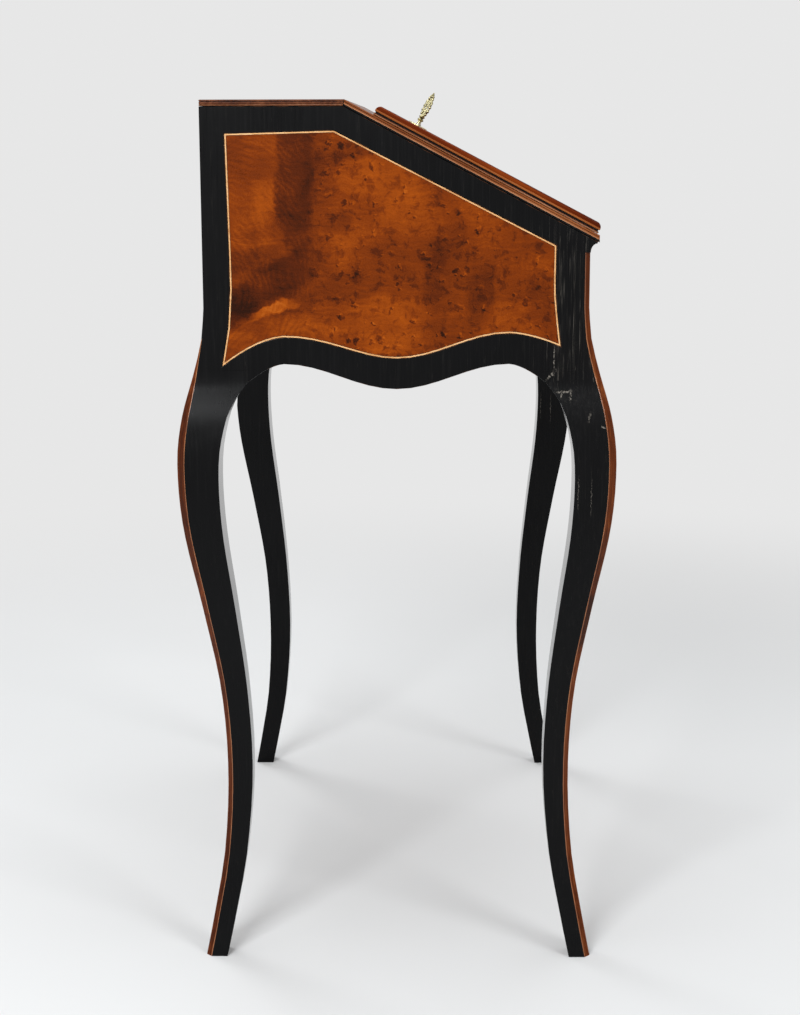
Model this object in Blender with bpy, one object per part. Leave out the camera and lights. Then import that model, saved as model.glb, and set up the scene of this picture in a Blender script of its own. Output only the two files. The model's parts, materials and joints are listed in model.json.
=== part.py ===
"""Slant-front writing desk on four cabriole legs, with a fall lid and a fitted interior.

Metres, +Z up. The origin is on the floor under the middle of the case.
-Y is the front, where the lid falls open, and +X is the right-hand side seen from the front.
"""

import math

import bmesh
import bpy
from mathutils import Vector

# Case
CASE_WIDTH = 0.640
CASE_DEPTH = 0.400
FRIEZE_HEIGHT = 0.139
SLOPE_RISE = 0.137
TOP_DEPTH = 0.148
NOSE_OVERHANG = 0.009
BOARD = 0.016
EDGE_BAND = 0.0065
GAP = 0.0003

# Legs: shares of the leg's height, and distances out from and in from the case's faces
LEG_HEIGHT = 0.650
EAR_REACH = 0.045
LEG_END_CURVE = (
    (0.000, 0.0120), (0.077, 0.0022), (0.178, -0.0086), (0.318, -0.0133), (0.462, -0.0080),
    (0.606, 0.0082), (0.746, 0.0258), (0.854, 0.0300), (0.925, 0.0246), (1.000, 0.0112),
    (1.049, 0.0030), (1.100, 0.0),
)
LEG_SIDE_CURVE = (
    (0.000, 0.0120), (0.077, 0.0022), (0.178, -0.0086), (0.318, -0.0133), (0.462, -0.0080),
    (0.606, 0.0046), (0.746, 0.0154), (0.854, 0.0180), (0.925, 0.0120), (0.985, 0.0010), (1.000, 0.0),
)
LEG_INNER_CURVE = (
    (0.000, 0.0115), (0.077, 0.0220), (0.178, 0.0338), (0.318, 0.0409), (0.462, 0.0373),
    (0.606, 0.0273), (0.746, 0.0162), (0.854, 0.0145), (0.920, 0.0220), (0.954, 0.0315), (0.981, EAR_REACH),
)
LEG_RINGS = 36
LEG_RING_CROWDING = 1.6
EAR_FADE_FROM = 0.800
EAR_FADE_TO = 1.000
CHAMFER_CURVE = ((0.000, 0.0055), (0.462, 0.0055), (0.854, 0.0080), (1.000, 0.0060), (1.100, 0.0050))
CHAMFER_FADE_FROM = 0.930
CHAMFER_FADE_TO = 1.060
CHAMFER_FADE = 0.9
STILE_LEVELS = (1.02, 1.05, 1.08, 1.1)

# Aprons, measured from the leg's top
ARCH_IN = 0.083
ARCH_RISE = 0.0065
APRON_DROP = 0.0198
ARCH_FOOT_DROP = 0.0125
ARCH_ROUNDNESS = 1.6
WAVE_STEPS = 16
FALL_STEPS = 7

# Cove under the nosing
COVE_INSET = 0.002
COVE_HEIGHT = 0.0115
COVE_STEPS = 5
NOSING_HEIGHT = 0.008
NOSING_DEPTH = 0.025

# Veneered fields with a boxwood line round them
VENEER = 0.0012
STRING_WIDTH = 0.0015
FIELD_TOP_BACK = 0.0342
FIELD_TOP_FRONT = 0.0313
FIELD_SLOPE_HIGH = 0.0327
FIELD_SLOPE_LOW = 0.030
FIELD_BACK_CURVE = ((0.0045, 0.0187), (0.038, 0.0250), (0.080, 0.0283), (0.127, 0.0280), (0.243, 0.0255))
FIELD_FRONT_CURVE = ((0.025, 0.0297), (0.055, 0.0333), (0.080, 0.0356), (0.132, 0.0355))
FIELD_EDGE_STEPS = 6
FIELD_APRON = 0.0322
FIELD_ROUNDNESS = 1.65
FIELD_SAG = 0.004
FIELD_SAG_FROM = 0.030
FRONT_FIELD_SIDE = 0.100
FRONT_FIELD_TOP = 0.022
FRONT_FIELD_FOOT = 0.020
LID_FIELD_BORDER = 0.032
TOP_FIELD_BORDER = 0.030

# Lid
LID_THICKNESS = 0.011
LID_MOULDING = 0.012
LID_HINGE_GAP = 0.0025
LID_NOSE_RADIUS = 0.0065
LID_HEAD_RADIUS = 0.006
LID_ROUND_STEPS = 4
RAIL_SHOWN = 0.0325
RAIL_LAP = 0.012
RAIL_DEPTH = 0.020
TOP_CORE = 0.010
LEATHER_BORDER = 0.040
LEATHER_THICKNESS = 0.0008

# Butt hinges
HINGE_X = 0.200
HINGE_LENGTH = 0.060
HINGE_LEAF = 0.020
HINGE_PLATE = 0.0015
KNUCKLE_RADIUS = 0.0025
PIN_RADIUS = 0.0012
KNUCKLES = 3
ROUND_SIDES = 16

# Lock, bolt and key, measured down the slope from the fixed rail
LOCK_WIDTH = 0.064
LOCK_LENGTH = 0.050
LOCK_DEPTH = 0.012
LOCK_CLEARANCE = 0.001
KEYHOLE_DOWN = 0.0323
KEY_SHANK_RADIUS = 0.0024
KEY_SHOWN = 0.043
KEY_BOW_LENGTH = 0.027
KEY_BOW_WIDTH = 0.023
KEY_BOW_THICKNESS = 0.0030
KEY_BIT_REACH = 0.0075
KEY_BIT_HEIGHT = 0.006
KEY_TURN_AT_REST = 22.0
KEY_BOW_STEPS = 20
KEY_SHANK_IN_BOW = 0.1
KEY_EYE_OUT = 0.5
KEY_EYE_WIDTH = 0.34
KEY_EYE_LENGTH = 0.60
BOLT_WIDTH = 0.018
BOLT_THICKNESS = 0.005
BOLT_DOWN = 0.0045
BOLT_LENGTH = 0.020
BOLT_THROW = 0.008
STRIKE_WIDTH = 0.040
STRIKE_HEIGHT = 0.0145
STRIKE_PLATE = 0.0012
ESCUTCHEON_WIDTH = 0.013
ESCUTCHEON_HEIGHT = 0.024
ESCUTCHEON_THICKNESS = 0.001

# Interior
BOTTOM_UP = 0.012
BOTTOM_BOARD = 0.010
FLOOR_BOARD = 0.012
WELL_HALF_WIDTH = 0.175
WELL_WALL = 0.012
WELL_REBATE = 0.006
WELL_COVER = 0.006
WELL_COVER_LENGTH = 0.200
WELL_LIP = 0.012
WELL_FRONT = 0.030
WELL_FINGER_RADIUS = 0.008
LOPER_IN = 0.076
LOPER_WIDTH = 0.016
LOPER_HEIGHT = 0.040
LOPER_LENGTH = 0.320
LOPER_RUNNER_WALL = 0.005
LOPER_RUNNER_LIP = 0.010
LOPER_PULL_RADIUS = 0.006
LOPER_PULL_DEPTH = 0.004
NEST_SETBACK = 0.012
DRAWER_HEIGHT = 0.044
DRAWER_COUNT = 3
DIVIDER = 0.006
DRAWER_WALL = 0.006
DRAWER_FLOOR = 0.004
DRAWER_BACK_ROOM = 0.008
KNOB_RADIUS = 0.0055
KNOB_LENGTH = 0.012
KNOB_SIDES = 12
KNOB_PROFILE = ((0.45, 0.0), (0.40, 0.35), (0.75, 0.50), (1.0, 0.70), (0.85, 0.92), (0.30, 1.0))
PARTITION_SETBACK = 0.010

# What follows from the sizes above
WRITING_HEIGHT = LEG_HEIGHT + FRIEZE_HEIGHT
TOP_HEIGHT = WRITING_HEIGHT + SLOPE_RISE
HALF_WIDTH = CASE_WIDTH / 2
HALF_DEPTH = CASE_DEPTH / 2
LOPER_X = HALF_WIDTH - LOPER_IN
INNER_X = HALF_WIDTH - BOARD
INNER_Y = HALF_DEPTH - BOARD
NOSE_Y = -HALF_DEPTH - NOSE_OVERHANG
TOP_FRONT_Y = HALF_DEPTH - TOP_DEPTH
SLOPE = math.atan2(SLOPE_RISE, TOP_FRONT_Y - NOSE_Y)
SLOPE_LENGTH = math.hypot(SLOPE_RISE, TOP_FRONT_Y - NOSE_Y)
MITRE = math.tan(SLOPE / 2)
LID_LENGTH = SLOPE_LENGTH - RAIL_SHOWN
RAIL_FACE = LID_LENGTH - RAIL_LAP
FLOOR_UNDERSIDE = WRITING_HEIGHT - FLOOR_BOARD
BOTTOM_Z = LEG_HEIGHT + BOTTOM_UP
BOTTOM_TOP = BOTTOM_Z + BOTTOM_BOARD
NOSING_UNDERSIDE = WRITING_HEIGHT - NOSING_HEIGHT
CORE_UNDERSIDE = TOP_HEIGHT - EDGE_BAND - GAP - TOP_CORE
NEST_Y = TOP_FRONT_Y + NEST_SETBACK
SHELF_Z = WRITING_HEIGHT + DRAWER_HEIGHT
KEYHOLE_S = RAIL_FACE - KEYHOLE_DOWN
POCKET = VENEER + GAP

SMOOTH_ANGLE = 0.6
SIDES = (("left", -1), ("right", 1))
ENDS = (("front", -1), ("back", 1))


def clear_scene():
    for old in list(bpy.data.objects):
        bpy.data.objects.remove(old, do_unlink=True)


def make_material(name, colour, roughness, metallic=0.0):
    made = bpy.data.materials.new(name)
    made.use_nodes = True
    shader = made.node_tree.nodes["Principled BSDF"]
    shader.inputs["Base Color"].default_value = (*colour, 1.0)
    shader.inputs["Roughness"].default_value = roughness
    shader.inputs["Metallic"].default_value = metallic
    made.diffuse_color = (*colour, 1.0)
    return made


def make_materials():
    return {
        "ebonised": make_material("ebonised", (0.012, 0.012, 0.013), 0.25),
        "burr": make_material("burr", (0.30, 0.085, 0.018), 0.25),
        "edge_wood": make_material("edge_wood", (0.17, 0.045, 0.015), 0.3),
        "boxwood": make_material("boxwood", (0.72, 0.42, 0.17), 0.35),
        "inner_wood": make_material("inner_wood", (0.26, 0.10, 0.035), 0.45),
        "brass": make_material("brass", (0.72, 0.50, 0.18), 0.25, 1.0),
        "leather": make_material("leather", (0.035, 0.09, 0.045), 0.5),
    }


def lift(axis, across, up, along):
    """The 3D point of a 2D outline point that is extruded along an axis."""
    if axis == "X":
        return (along, across, up)
    if axis == "Y":
        return (across, along, up)
    return (across, up, along)


def finish_mesh(name, shape):
    bmesh.ops.recalc_face_normals(shape, faces=shape.faces)
    mesh = bpy.data.meshes.new(name)
    shape.to_mesh(mesh)
    shape.free()
    return mesh


def prism(outline, axis, low, high):
    """A closed outline, extruded from low to high along an axis."""
    shape = bmesh.new()
    near = [shape.verts.new(lift(axis, u, v, low)) for u, v in outline]
    far = [shape.verts.new(lift(axis, u, v, high)) for u, v in outline]
    shape.faces.new(near)
    shape.faces.new(far)
    for i in range(len(outline)):
        j = (i + 1) % len(outline)
        shape.faces.new((near[i], near[j], far[j], far[i]))
    return finish_mesh("prism", shape)


def frame_prism(outer, inner, axis, low, high):
    """A closed band between two outlines with as many points, extruded along an axis."""
    shape = bmesh.new()
    loops = [
        [shape.verts.new(lift(axis, u, v, along)) for u, v in outline]
        for outline, along in ((outer, low), (inner, low), (inner, high), (outer, high))
    ]
    for k in range(len(loops)):
        first = loops[k]
        second = loops[(k + 1) % len(loops)]
        for i in range(len(outer)):
            j = (i + 1) % len(outer)
            shape.faces.new((first[i], first[j], second[j], second[i]))
    return finish_mesh("frame", shape)


def skin(shape, loops):
    for lower, upper in zip(loops, loops[1:]):
        for i in range(len(lower)):
            j = (i + 1) % len(lower)
            shape.faces.new((lower[i], lower[j], upper[j], upper[i]))


def loft(rings):
    """A closed skin through rings of as many points, with flat ends."""
    shape = bmesh.new()
    loops = [[shape.verts.new(point) for point in ring] for ring in rings]
    shape.faces.new(loops[0])
    shape.faces.new(loops[-1])
    skin(shape, loops)
    return finish_mesh("loft", shape)


def block(low, high):
    outline = rectangle(low[0], low[1], high[0], high[1])
    return prism(outline, "Z", low[2], high[2])


def rectangle(low_u, low_v, high_u, high_v):
    return [(low_u, low_v), (high_u, low_v), (high_u, high_v), (low_u, high_v)]


def circle(centre_u, centre_v, radius, sides=ROUND_SIDES):
    turns = [2 * math.pi * i / sides for i in range(sides)]
    return [(centre_u + radius * math.cos(t), centre_v + radius * math.sin(t)) for t in turns]


def inset(outline, distance):
    """A counter-clockwise outline moved inwards by a distance, or outwards where it is negative."""
    moved = []
    for i, corner in enumerate(outline):
        here = Vector(corner)
        before = (here - Vector(outline[i - 1])).normalized()
        after = (Vector(outline[(i + 1) % len(outline)]) - here).normalized()
        normal_before = Vector((-before.y, before.x))
        normal_after = Vector((-after.y, after.x))
        bisector = (normal_before + normal_after).normalized()
        moved.append(tuple(here + bisector * (distance / bisector.dot(normal_before))))
    return moved


def curve_at(stations, place):
    """The value at a place on a smooth curve through (place, value) stations."""
    if place <= stations[0][0]:
        return stations[0][1]
    if place >= stations[-1][0]:
        return stations[-1][1]
    i = max(k for k in range(len(stations) - 1) if stations[k][0] <= place)
    (x0, y0), (x1, y1) = stations[i], stations[i + 1]
    slope0 = station_slope(stations, i)
    slope1 = station_slope(stations, i + 1)
    span = x1 - x0
    t = (place - x0) / span
    return (
        y0 * (2 * t**3 - 3 * t**2 + 1)
        + slope0 * span * (t**3 - 2 * t**2 + t)
        + y1 * (3 * t**2 - 2 * t**3)
        + slope1 * span * (t**3 - t**2)
    )


def station_slope(stations, i):
    low = max(i - 1, 0)
    high = min(i + 1, len(stations) - 1)
    return (stations[high][1] - stations[low][1]) / (stations[high][0] - stations[low][0])


def smooth_step(low, high, value):
    t = min(max((value - low) / (high - low), 0.0), 1.0)
    return t * t * (3 - 2 * t)


def add(name, mesh, finish, parent=None):
    mesh.name = name
    mesh.materials.append(finish)
    made = bpy.data.objects.new(name, mesh)
    bpy.context.scene.collection.objects.link(made)
    made.parent = parent
    return made


def add_empty(name, location, tilt=0.0, parent=None):
    made = bpy.data.objects.new(name, None)
    made.location = location
    made.rotation_euler = (tilt, 0.0, 0.0)
    made.parent = parent
    bpy.context.scene.collection.objects.link(made)
    return made


def combine(target, mesh, operation):
    """Cuts a mesh from an object or joins one to it; the mesh is in the object's own frame."""
    helper = bpy.data.objects.new("helper_" + target.name, mesh)
    helper.hide_render = True
    helper.display_type = "WIRE"
    helper.parent = target
    bpy.context.scene.collection.objects.link(helper)
    step = target.modifiers.new(operation.lower(), "BOOLEAN")
    step.operation = operation
    step.solver = "EXACT"
    step.object = helper


def cut(target, mesh):
    combine(target, mesh, "DIFFERENCE")


def join(target, mesh):
    combine(target, mesh, "UNION")


def smooth(made):
    made.data.shade_smooth()
    made.data.set_sharp_from_angle(angle=SMOOTH_ANGLE)


def slope_z(y, depth):
    """The height of the line that lies a depth under the slope, above a place y."""
    return WRITING_HEIGHT + (y - NOSE_Y) * math.tan(SLOPE) - depth / math.cos(SLOPE)


def apron_z(place, reach):
    """The apron's lower edge: a drop in the middle, and an arch at each end of its reach."""
    middle = LEG_HEIGHT + (ARCH_RISE - APRON_DROP) / 2
    swing = (ARCH_RISE + APRON_DROP) / 2
    return middle - swing * math.cos(math.pi * place / reach)


def apron_edge(half_span):
    """The apron's lower edge from one leg's ear to the other, as (place, height) points."""
    reach = half_span - ARCH_IN
    ear = half_span - EAR_REACH - GAP
    foot = LEG_HEIGHT - ARCH_FOOT_DROP
    fall = fall_points(reach, LEG_HEIGHT + ARCH_RISE, ear, foot, ARCH_ROUNDNESS)
    return [(-place, z) for place, z in reversed(fall)] + wave_points(reach, 0.0) + fall


def wave_points(reach, raised):
    places = [reach * (2 * i / WAVE_STEPS - 1) for i in range(WAVE_STEPS + 1)]
    return [(place, apron_z(place, reach) + raised) for place in places]


def fall_points(start, start_z, end, end_z, roundness):
    """A curve that leaves its start level and falls more and more steeply to its end."""
    shares = [i / FALL_STEPS for i in range(1, FALL_STEPS + 1)]
    return [(start + (end - start) * t, start_z + (end_z - start_z) * t**roundness) for t in shares]


def leg_sizes(share, end):
    """How far a leg stands out at a level, past the case's end and side faces, and its chamfer."""
    end_out = curve_at(LEG_END_CURVE, share)
    side_out = curve_at(LEG_SIDE_CURVE, share)
    chamfer = curve_at(CHAMFER_CURVE, share)
    if end == "back":
        chamfer *= 1.0 - CHAMFER_FADE * smooth_step(CHAMFER_FADE_FROM, CHAMFER_FADE_TO, share)
    return end_out, side_out, chamfer


def leg_ring(share, end):
    """One level of a leg below the case, as distances in from the case's side and end faces."""
    end_out, side_out, chamfer = leg_sizes(share, end)
    end_in = curve_at(LEG_INNER_CURVE, share)
    side_in = min(end_in + end_out - side_out, EAR_REACH)
    fade = 1.0 - smooth_step(EAR_FADE_FROM, EAR_FADE_TO, share)
    side_start = chamfer - side_out
    end_start = chamfer - end_out
    top_end_out, top_side_out, top_chamfer = leg_sizes(1.0, end)
    side_split = stile_share(top_chamfer - top_side_out)
    end_split = stile_share(top_chamfer - top_end_out)
    middle = side_start + (side_in - side_start) * side_split
    return [
        (side_in, end_in),
        (-side_out, end_in),
        (-side_out, end_start + (end_in - end_start) * end_split),
        (-side_out, end_start),
        (side_start, -end_out),
        (middle, -end_out),
        ((middle + side_in) / 2, -end_out * (1.0 + fade) / 2),
        (side_in, -end_out * fade),
    ]


def stile_share(start):
    """Where the stile's inner edge is on the ear's top, as a share of the way to the ear's end."""
    return (BOARD - start) / (EAR_REACH - start)


def stile_ring(share, end):
    """One level of the corner stile that a leg runs up into."""
    end_out, side_out, chamfer = leg_sizes(share, end)
    return [
        (BOARD, BOARD),
        (-side_out, BOARD),
        (-side_out, chamfer - end_out),
        (chamfer - side_out, -end_out),
        (BOARD, -end_out),
    ]


def leg_mesh(x_sign, y_sign, end, top):
    """A leg with its ears, and the narrower stile that stands on its shoulder."""
    shape = bmesh.new()

    def level(ring, share):
        return [
            shape.verts.new((x_sign * (HALF_WIDTH - a), y_sign * (HALF_DEPTH - b), share * LEG_HEIGHT))
            for a, b in ring
        ]

    shares = [1.0 - (1.0 - i / LEG_RINGS) ** LEG_RING_CROWDING for i in range(LEG_RINGS + 1)]
    loops = [level(leg_ring(share, end), share) for share in shares]
    shape.faces.new(loops[0])
    skin(shape, loops)
    shoulder = loops[-1]
    corner = level(stile_ring(1.0, end)[:1], 1.0)[0]
    shape.faces.new((*shoulder[:3], corner, *shoulder[5:]))
    stile = [[corner, *shoulder[2:6]]]
    stile += [level(stile_ring(share, end), share) for share in (*STILE_LEVELS, top / LEG_HEIGHT)]
    skin(shape, stile)
    shape.faces.new(stile[-1])
    return finish_mesh("leg", shape)


def make_legs(finishes):
    front_top = cove()[-1][1] - GAP
    back_top = TOP_HEIGHT - EDGE_BAND - GAP
    for side, x_sign in SIDES:
        for end, y_sign in ENDS:
            top = back_top if end == "back" else front_top
            leg = add(f"leg_{end}_{side}", leg_mesh(x_sign, y_sign, end, top), finishes["ebonised"])
            smooth(leg)


def cove():
    """The hollow under the nosing, from its tip down to the front face."""
    tip_y = NOSE_Y + COVE_INSET
    foot_z = NOSING_UNDERSIDE - COVE_HEIGHT + COVE_INSET
    turns = [math.pi / 2 * (1 - i / COVE_STEPS) for i in range(COVE_STEPS + 1)]
    run = -HALF_DEPTH - tip_y
    rise = NOSING_UNDERSIDE - GAP - foot_z
    return [(tip_y + run * math.cos(t), foot_z + rise * math.sin(t)) for t in turns]


def side_outline():
    """The side panel, seen from the side: (y, z) points, counter-clockwise with y to the right."""
    under_band = EDGE_BAND + GAP
    edge = INNER_Y - GAP
    top = TOP_HEIGHT - under_band
    foot = LEG_HEIGHT + GAP
    mitre_y = TOP_FRONT_Y + under_band * MITRE
    hollow = cove()
    ear = HALF_DEPTH - EAR_REACH - GAP
    front_foot = hollow[-1][1]
    outline = [(-edge, foot), (-ear, foot)]
    outline += apron_edge(HALF_DEPTH)
    outline += [(ear, foot), (edge, foot), (edge, top), (mitre_y, top)]
    outline.append((hollow[0][0], slope_z(hollow[0][0], under_band)))
    outline += hollow
    outline.append((-edge, front_foot))
    return outline


def field_edge(curve, high):
    """An upright edge of the side's field: (distance in from the case's face, height above the leg)."""
    low = curve[0][0]
    heights = [low + (high - low) * i / FIELD_EDGE_STEPS for i in range(FIELD_EDGE_STEPS + 1)]
    return [(curve_at(curve, height), height) for height in heights]


def side_field():
    """The line round the side's veneered field."""
    reach = HALF_DEPTH - ARCH_IN
    crest = ARCH_RISE + FIELD_APRON
    top = TOP_HEIGHT - FIELD_TOP_FRONT
    front_y = -HALF_DEPTH + FIELD_FRONT_CURVE[-1][1]
    slope_low = slope_z(front_y, FIELD_SLOPE_LOW)
    slope_high = slope_z(TOP_FRONT_Y, FIELD_SLOPE_HIGH)
    corner_y = front_y + (TOP_FRONT_Y - front_y) * (top - slope_low) / (slope_high - slope_low)
    back = field_edge(FIELD_BACK_CURVE, FRIEZE_HEIGHT + SLOPE_RISE - FIELD_TOP_BACK)
    front = field_edge(FIELD_FRONT_CURVE, slope_low - LEG_HEIGHT)
    back_fall = fall_points(reach, crest - FIELD_SAG, HALF_DEPTH - back[0][0], back[0][1], FIELD_ROUNDNESS)
    front_fall = fall_points(reach, crest, HALF_DEPTH - front[0][0], front[0][1], FIELD_ROUNDNESS)
    outline = [(-place, LEG_HEIGHT + z) for place, z in reversed(front_fall)]
    for place, z in wave_points(reach, FIELD_APRON):
        outline.append((place, z - FIELD_SAG * smooth_step(FIELD_SAG_FROM, reach, place)))
    outline += [(place, LEG_HEIGHT + z) for place, z in back_fall]
    outline += [(HALF_DEPTH - inward, LEG_HEIGHT + z) for inward, z in back[1:]]
    outline.append((corner_y, top))
    outline += [(-HALF_DEPTH + inward, LEG_HEIGHT + z) for inward, z in reversed(front[1:])]
    return outline


def add_field(name, holder, outline, axis, face, inward, finishes, parent=None):
    """Sinks a veneered field and the line round it into a panel's face."""
    floor = face + inward * POCKET
    beyond = face - inward * POCKET
    low, high = sorted((floor, beyond))
    cut(holder, prism(inset(outline, -GAP), axis, low, high))
    low, high = sorted((face, face + inward * VENEER))
    line_inner = inset(outline, STRING_WIDTH)
    field = inset(outline, STRING_WIDTH + GAP)
    line = frame_prism(outline, line_inner, axis, low, high)
    add(f"{name}_stringing", line, finishes["boxwood"], parent)
    add(f"{name}_inlay", prism(field, axis, low, high), finishes["burr"], parent)


def rename_for_side(kind, side):
    for piece in ("stringing", "inlay"):
        made = bpy.data.objects[f"{kind}_{side}_{piece}"]
        made.name = f"{kind}_{piece}_{side}"
        made.data.name = made.name


def make_sides(finishes):
    for side, sign in SIDES:
        low, high = sorted((sign * INNER_X, sign * HALF_WIDTH))
        panel = add(f"side_panel_{side}", prism(side_outline(), "X", low, high), finishes["ebonised"])
        add_field(f"side_{side}", panel, side_field(), "X", sign * HALF_WIDTH, -sign, finishes)
        rename_for_side("side", side)


def make_slope_strips(finishes, slope_frame):
    """The moulded strips on the sides' slope, under the lid's edges; in the slope's own frame."""
    outline = [
        (0.0, 0.0),
        (-EDGE_BAND * math.tan(SLOPE), -EDGE_BAND),
        (SLOPE_LENGTH - EDGE_BAND * MITRE - GAP, -EDGE_BAND),
        (SLOPE_LENGTH - GAP, 0.0),
    ]
    for side, sign in SIDES:
        low, high = sorted((sign * (INNER_X + GAP), sign * HALF_WIDTH))
        add(f"slope_strip_{side}", prism(outline, "X", low, high), finishes["edge_wood"], slope_frame)


def make_top(finishes):
    outline = [
        (TOP_FRONT_Y + GAP, TOP_HEIGHT),
        (TOP_FRONT_Y + EDGE_BAND * MITRE + GAP, TOP_HEIGHT - EDGE_BAND),
        (HALF_DEPTH, TOP_HEIGHT - EDGE_BAND),
        (HALF_DEPTH, TOP_HEIGHT),
    ]
    board = add("top_board", prism(outline, "X", -HALF_WIDTH, HALF_WIDTH), finishes["edge_wood"])
    field = rectangle(
        -HALF_WIDTH + TOP_FIELD_BORDER,
        TOP_FRONT_Y + TOP_FIELD_BORDER,
        HALF_WIDTH - TOP_FIELD_BORDER,
        HALF_DEPTH - TOP_FIELD_BORDER,
    )
    add_field("top", board, field, "Z", TOP_HEIGHT, -1, finishes)
    low = (-INNER_X + GAP, NEST_Y, CORE_UNDERSIDE)
    high = (INNER_X - GAP, INNER_Y - GAP, CORE_UNDERSIDE + TOP_CORE)
    add("top_core", block(low, high), finishes["inner_wood"])


def make_back(finishes):
    edge = INNER_X - GAP
    ear = HALF_WIDTH - EAR_REACH - GAP
    foot = LEG_HEIGHT + GAP
    top = TOP_HEIGHT - EDGE_BAND - GAP
    outline = [(-edge, foot), (-ear, foot)] + apron_edge(HALF_WIDTH)
    outline += [(ear, foot), (edge, foot), (edge, top), (-edge, top)]
    add("back_panel", prism(outline, "Y", INNER_Y, HALF_DEPTH), finishes["ebonised"])


def make_front(finishes):
    edge = INNER_X - GAP
    ear = HALF_WIDTH - EAR_REACH - GAP
    foot = LEG_HEIGHT + GAP
    cove_foot = cove()[-1][1]
    top = cove_foot - GAP
    outline = [(-edge, foot), (-ear, foot)] + apron_edge(HALF_WIDTH)
    outline += [(ear, foot), (edge, foot), (edge, top), (-edge, top)]
    panel = add("front_panel", prism(outline, "Y", -HALF_DEPTH, -INNER_Y), finishes["ebonised"])
    for _, sign in SIDES:
        low_x = sign * LOPER_X - LOPER_WIDTH / 2 - GAP
        high_x = sign * LOPER_X + LOPER_WIDTH / 2 + GAP
        low = (low_x, -HALF_DEPTH - BOARD, FLOOR_UNDERSIDE - LOPER_HEIGHT - 2 * GAP)
        high = (high_x, -INNER_Y + BOARD, WRITING_HEIGHT)
        cut(panel, block(low, high))
    half = HALF_WIDTH - FRONT_FIELD_SIDE
    reach = HALF_WIDTH - ARCH_IN - FRONT_FIELD_SIDE
    crest = LEG_HEIGHT + ARCH_RISE + FIELD_APRON
    fall = fall_points(reach, crest, half, LEG_HEIGHT + FRONT_FIELD_FOOT, FIELD_ROUNDNESS)
    field = [(-place, z) for place, z in reversed(fall)]
    field += wave_points(reach, FIELD_APRON) + fall
    field += [(half, cove_foot - FRONT_FIELD_TOP), (-half, cove_foot - FRONT_FIELD_TOP)]
    add_field("front", panel, field, "Y", -HALF_DEPTH, 1, finishes)
    hollow = cove()
    behind = NOSE_Y + NOSING_DEPTH
    rail = hollow + [(behind, hollow[-1][1]), (behind, hollow[0][1])]
    moulding = add("cove_rail", prism(rail, "X", -edge, edge), finishes["ebonised"])
    for _, sign in SIDES:
        low = (sign * LOPER_X - LOPER_WIDTH / 2 - GAP, NOSE_Y - BOARD, hollow[-1][1] - BOARD)
        high = (sign * LOPER_X + LOPER_WIDTH / 2 + GAP, behind + BOARD, FLOOR_UNDERSIDE)
        cut(moulding, block(low, high))
    low = (-edge, NOSE_Y, NOSING_UNDERSIDE)
    high = (edge, behind, WRITING_HEIGHT)
    nosing = add("nosing", block(low, high), finishes["edge_wood"])
    for _, sign in SIDES:
        cut(nosing, knuckle_room(sign, NOSE_Y, WRITING_HEIGHT))
        room = HINGE_LENGTH / 2 + GAP
        low = (sign * HINGE_X - room, NOSE_Y - BOARD, WRITING_HEIGHT - HINGE_PLATE - GAP)
        high = (sign * HINGE_X + room, NOSE_Y + HINGE_LEAF + GAP, WRITING_HEIGHT + BOARD)
        cut(nosing, block(low, high))


def knuckle_room(sign, y, z):
    """A cutter that clears a hinge's knuckles."""
    room = HINGE_LENGTH / 2 + GAP
    outline = circle(y, z, KNUCKLE_RADIUS + GAP)
    return prism(outline, "X", sign * HINGE_X - room, sign * HINGE_X + room)


def hinge_leaf(name, sign, odd, plate_low, plate_high, finish, parent):
    """One leaf in the frame of the hinge's axis: a plate, and every other knuckle."""
    start = sign * HINGE_X - HINGE_LENGTH / 2
    step = HINGE_LENGTH / KNUCKLES
    root = KNUCKLE_RADIUS + GAP
    low = (start, root, plate_low)
    high = (start + HINGE_LENGTH, HINGE_LEAF, plate_high)
    leaf = add(name, block(low, high), finish, parent)
    for k in range(KNUCKLES):
        if (k % 2 == 1) != odd:
            continue
        low_x = start + k * step + GAP / 2
        high_x = start + (k + 1) * step - GAP / 2
        join(leaf, block((low_x, PIN_RADIUS, plate_low), (high_x, root + PIN_RADIUS, plate_high)))
        join(leaf, prism(circle(0.0, 0.0, KNUCKLE_RADIUS), "X", low_x, high_x))
    bore = prism(circle(0.0, 0.0, PIN_RADIUS + GAP), "X", start - BOARD, start + HINGE_LENGTH + BOARD)
    cut(leaf, bore)
    return leaf


def make_hinges(finishes, level_frame, lid_frame):
    for side, sign in SIDES:
        brass = finishes["brass"]
        hinge_leaf(f"hinge_leaf_case_{side}", sign, False, -HINGE_PLATE, 0.0, brass, level_frame)
        hinge_leaf(f"hinge_leaf_lid_{side}", sign, True, GAP, GAP + HINGE_PLATE, brass, lid_frame)
        start = sign * HINGE_X - HINGE_LENGTH / 2
        pin = prism(circle(0.0, 0.0, PIN_RADIUS), "X", start, start + HINGE_LENGTH)
        add(f"hinge_pin_{side}", pin, brass, level_frame)


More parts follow.
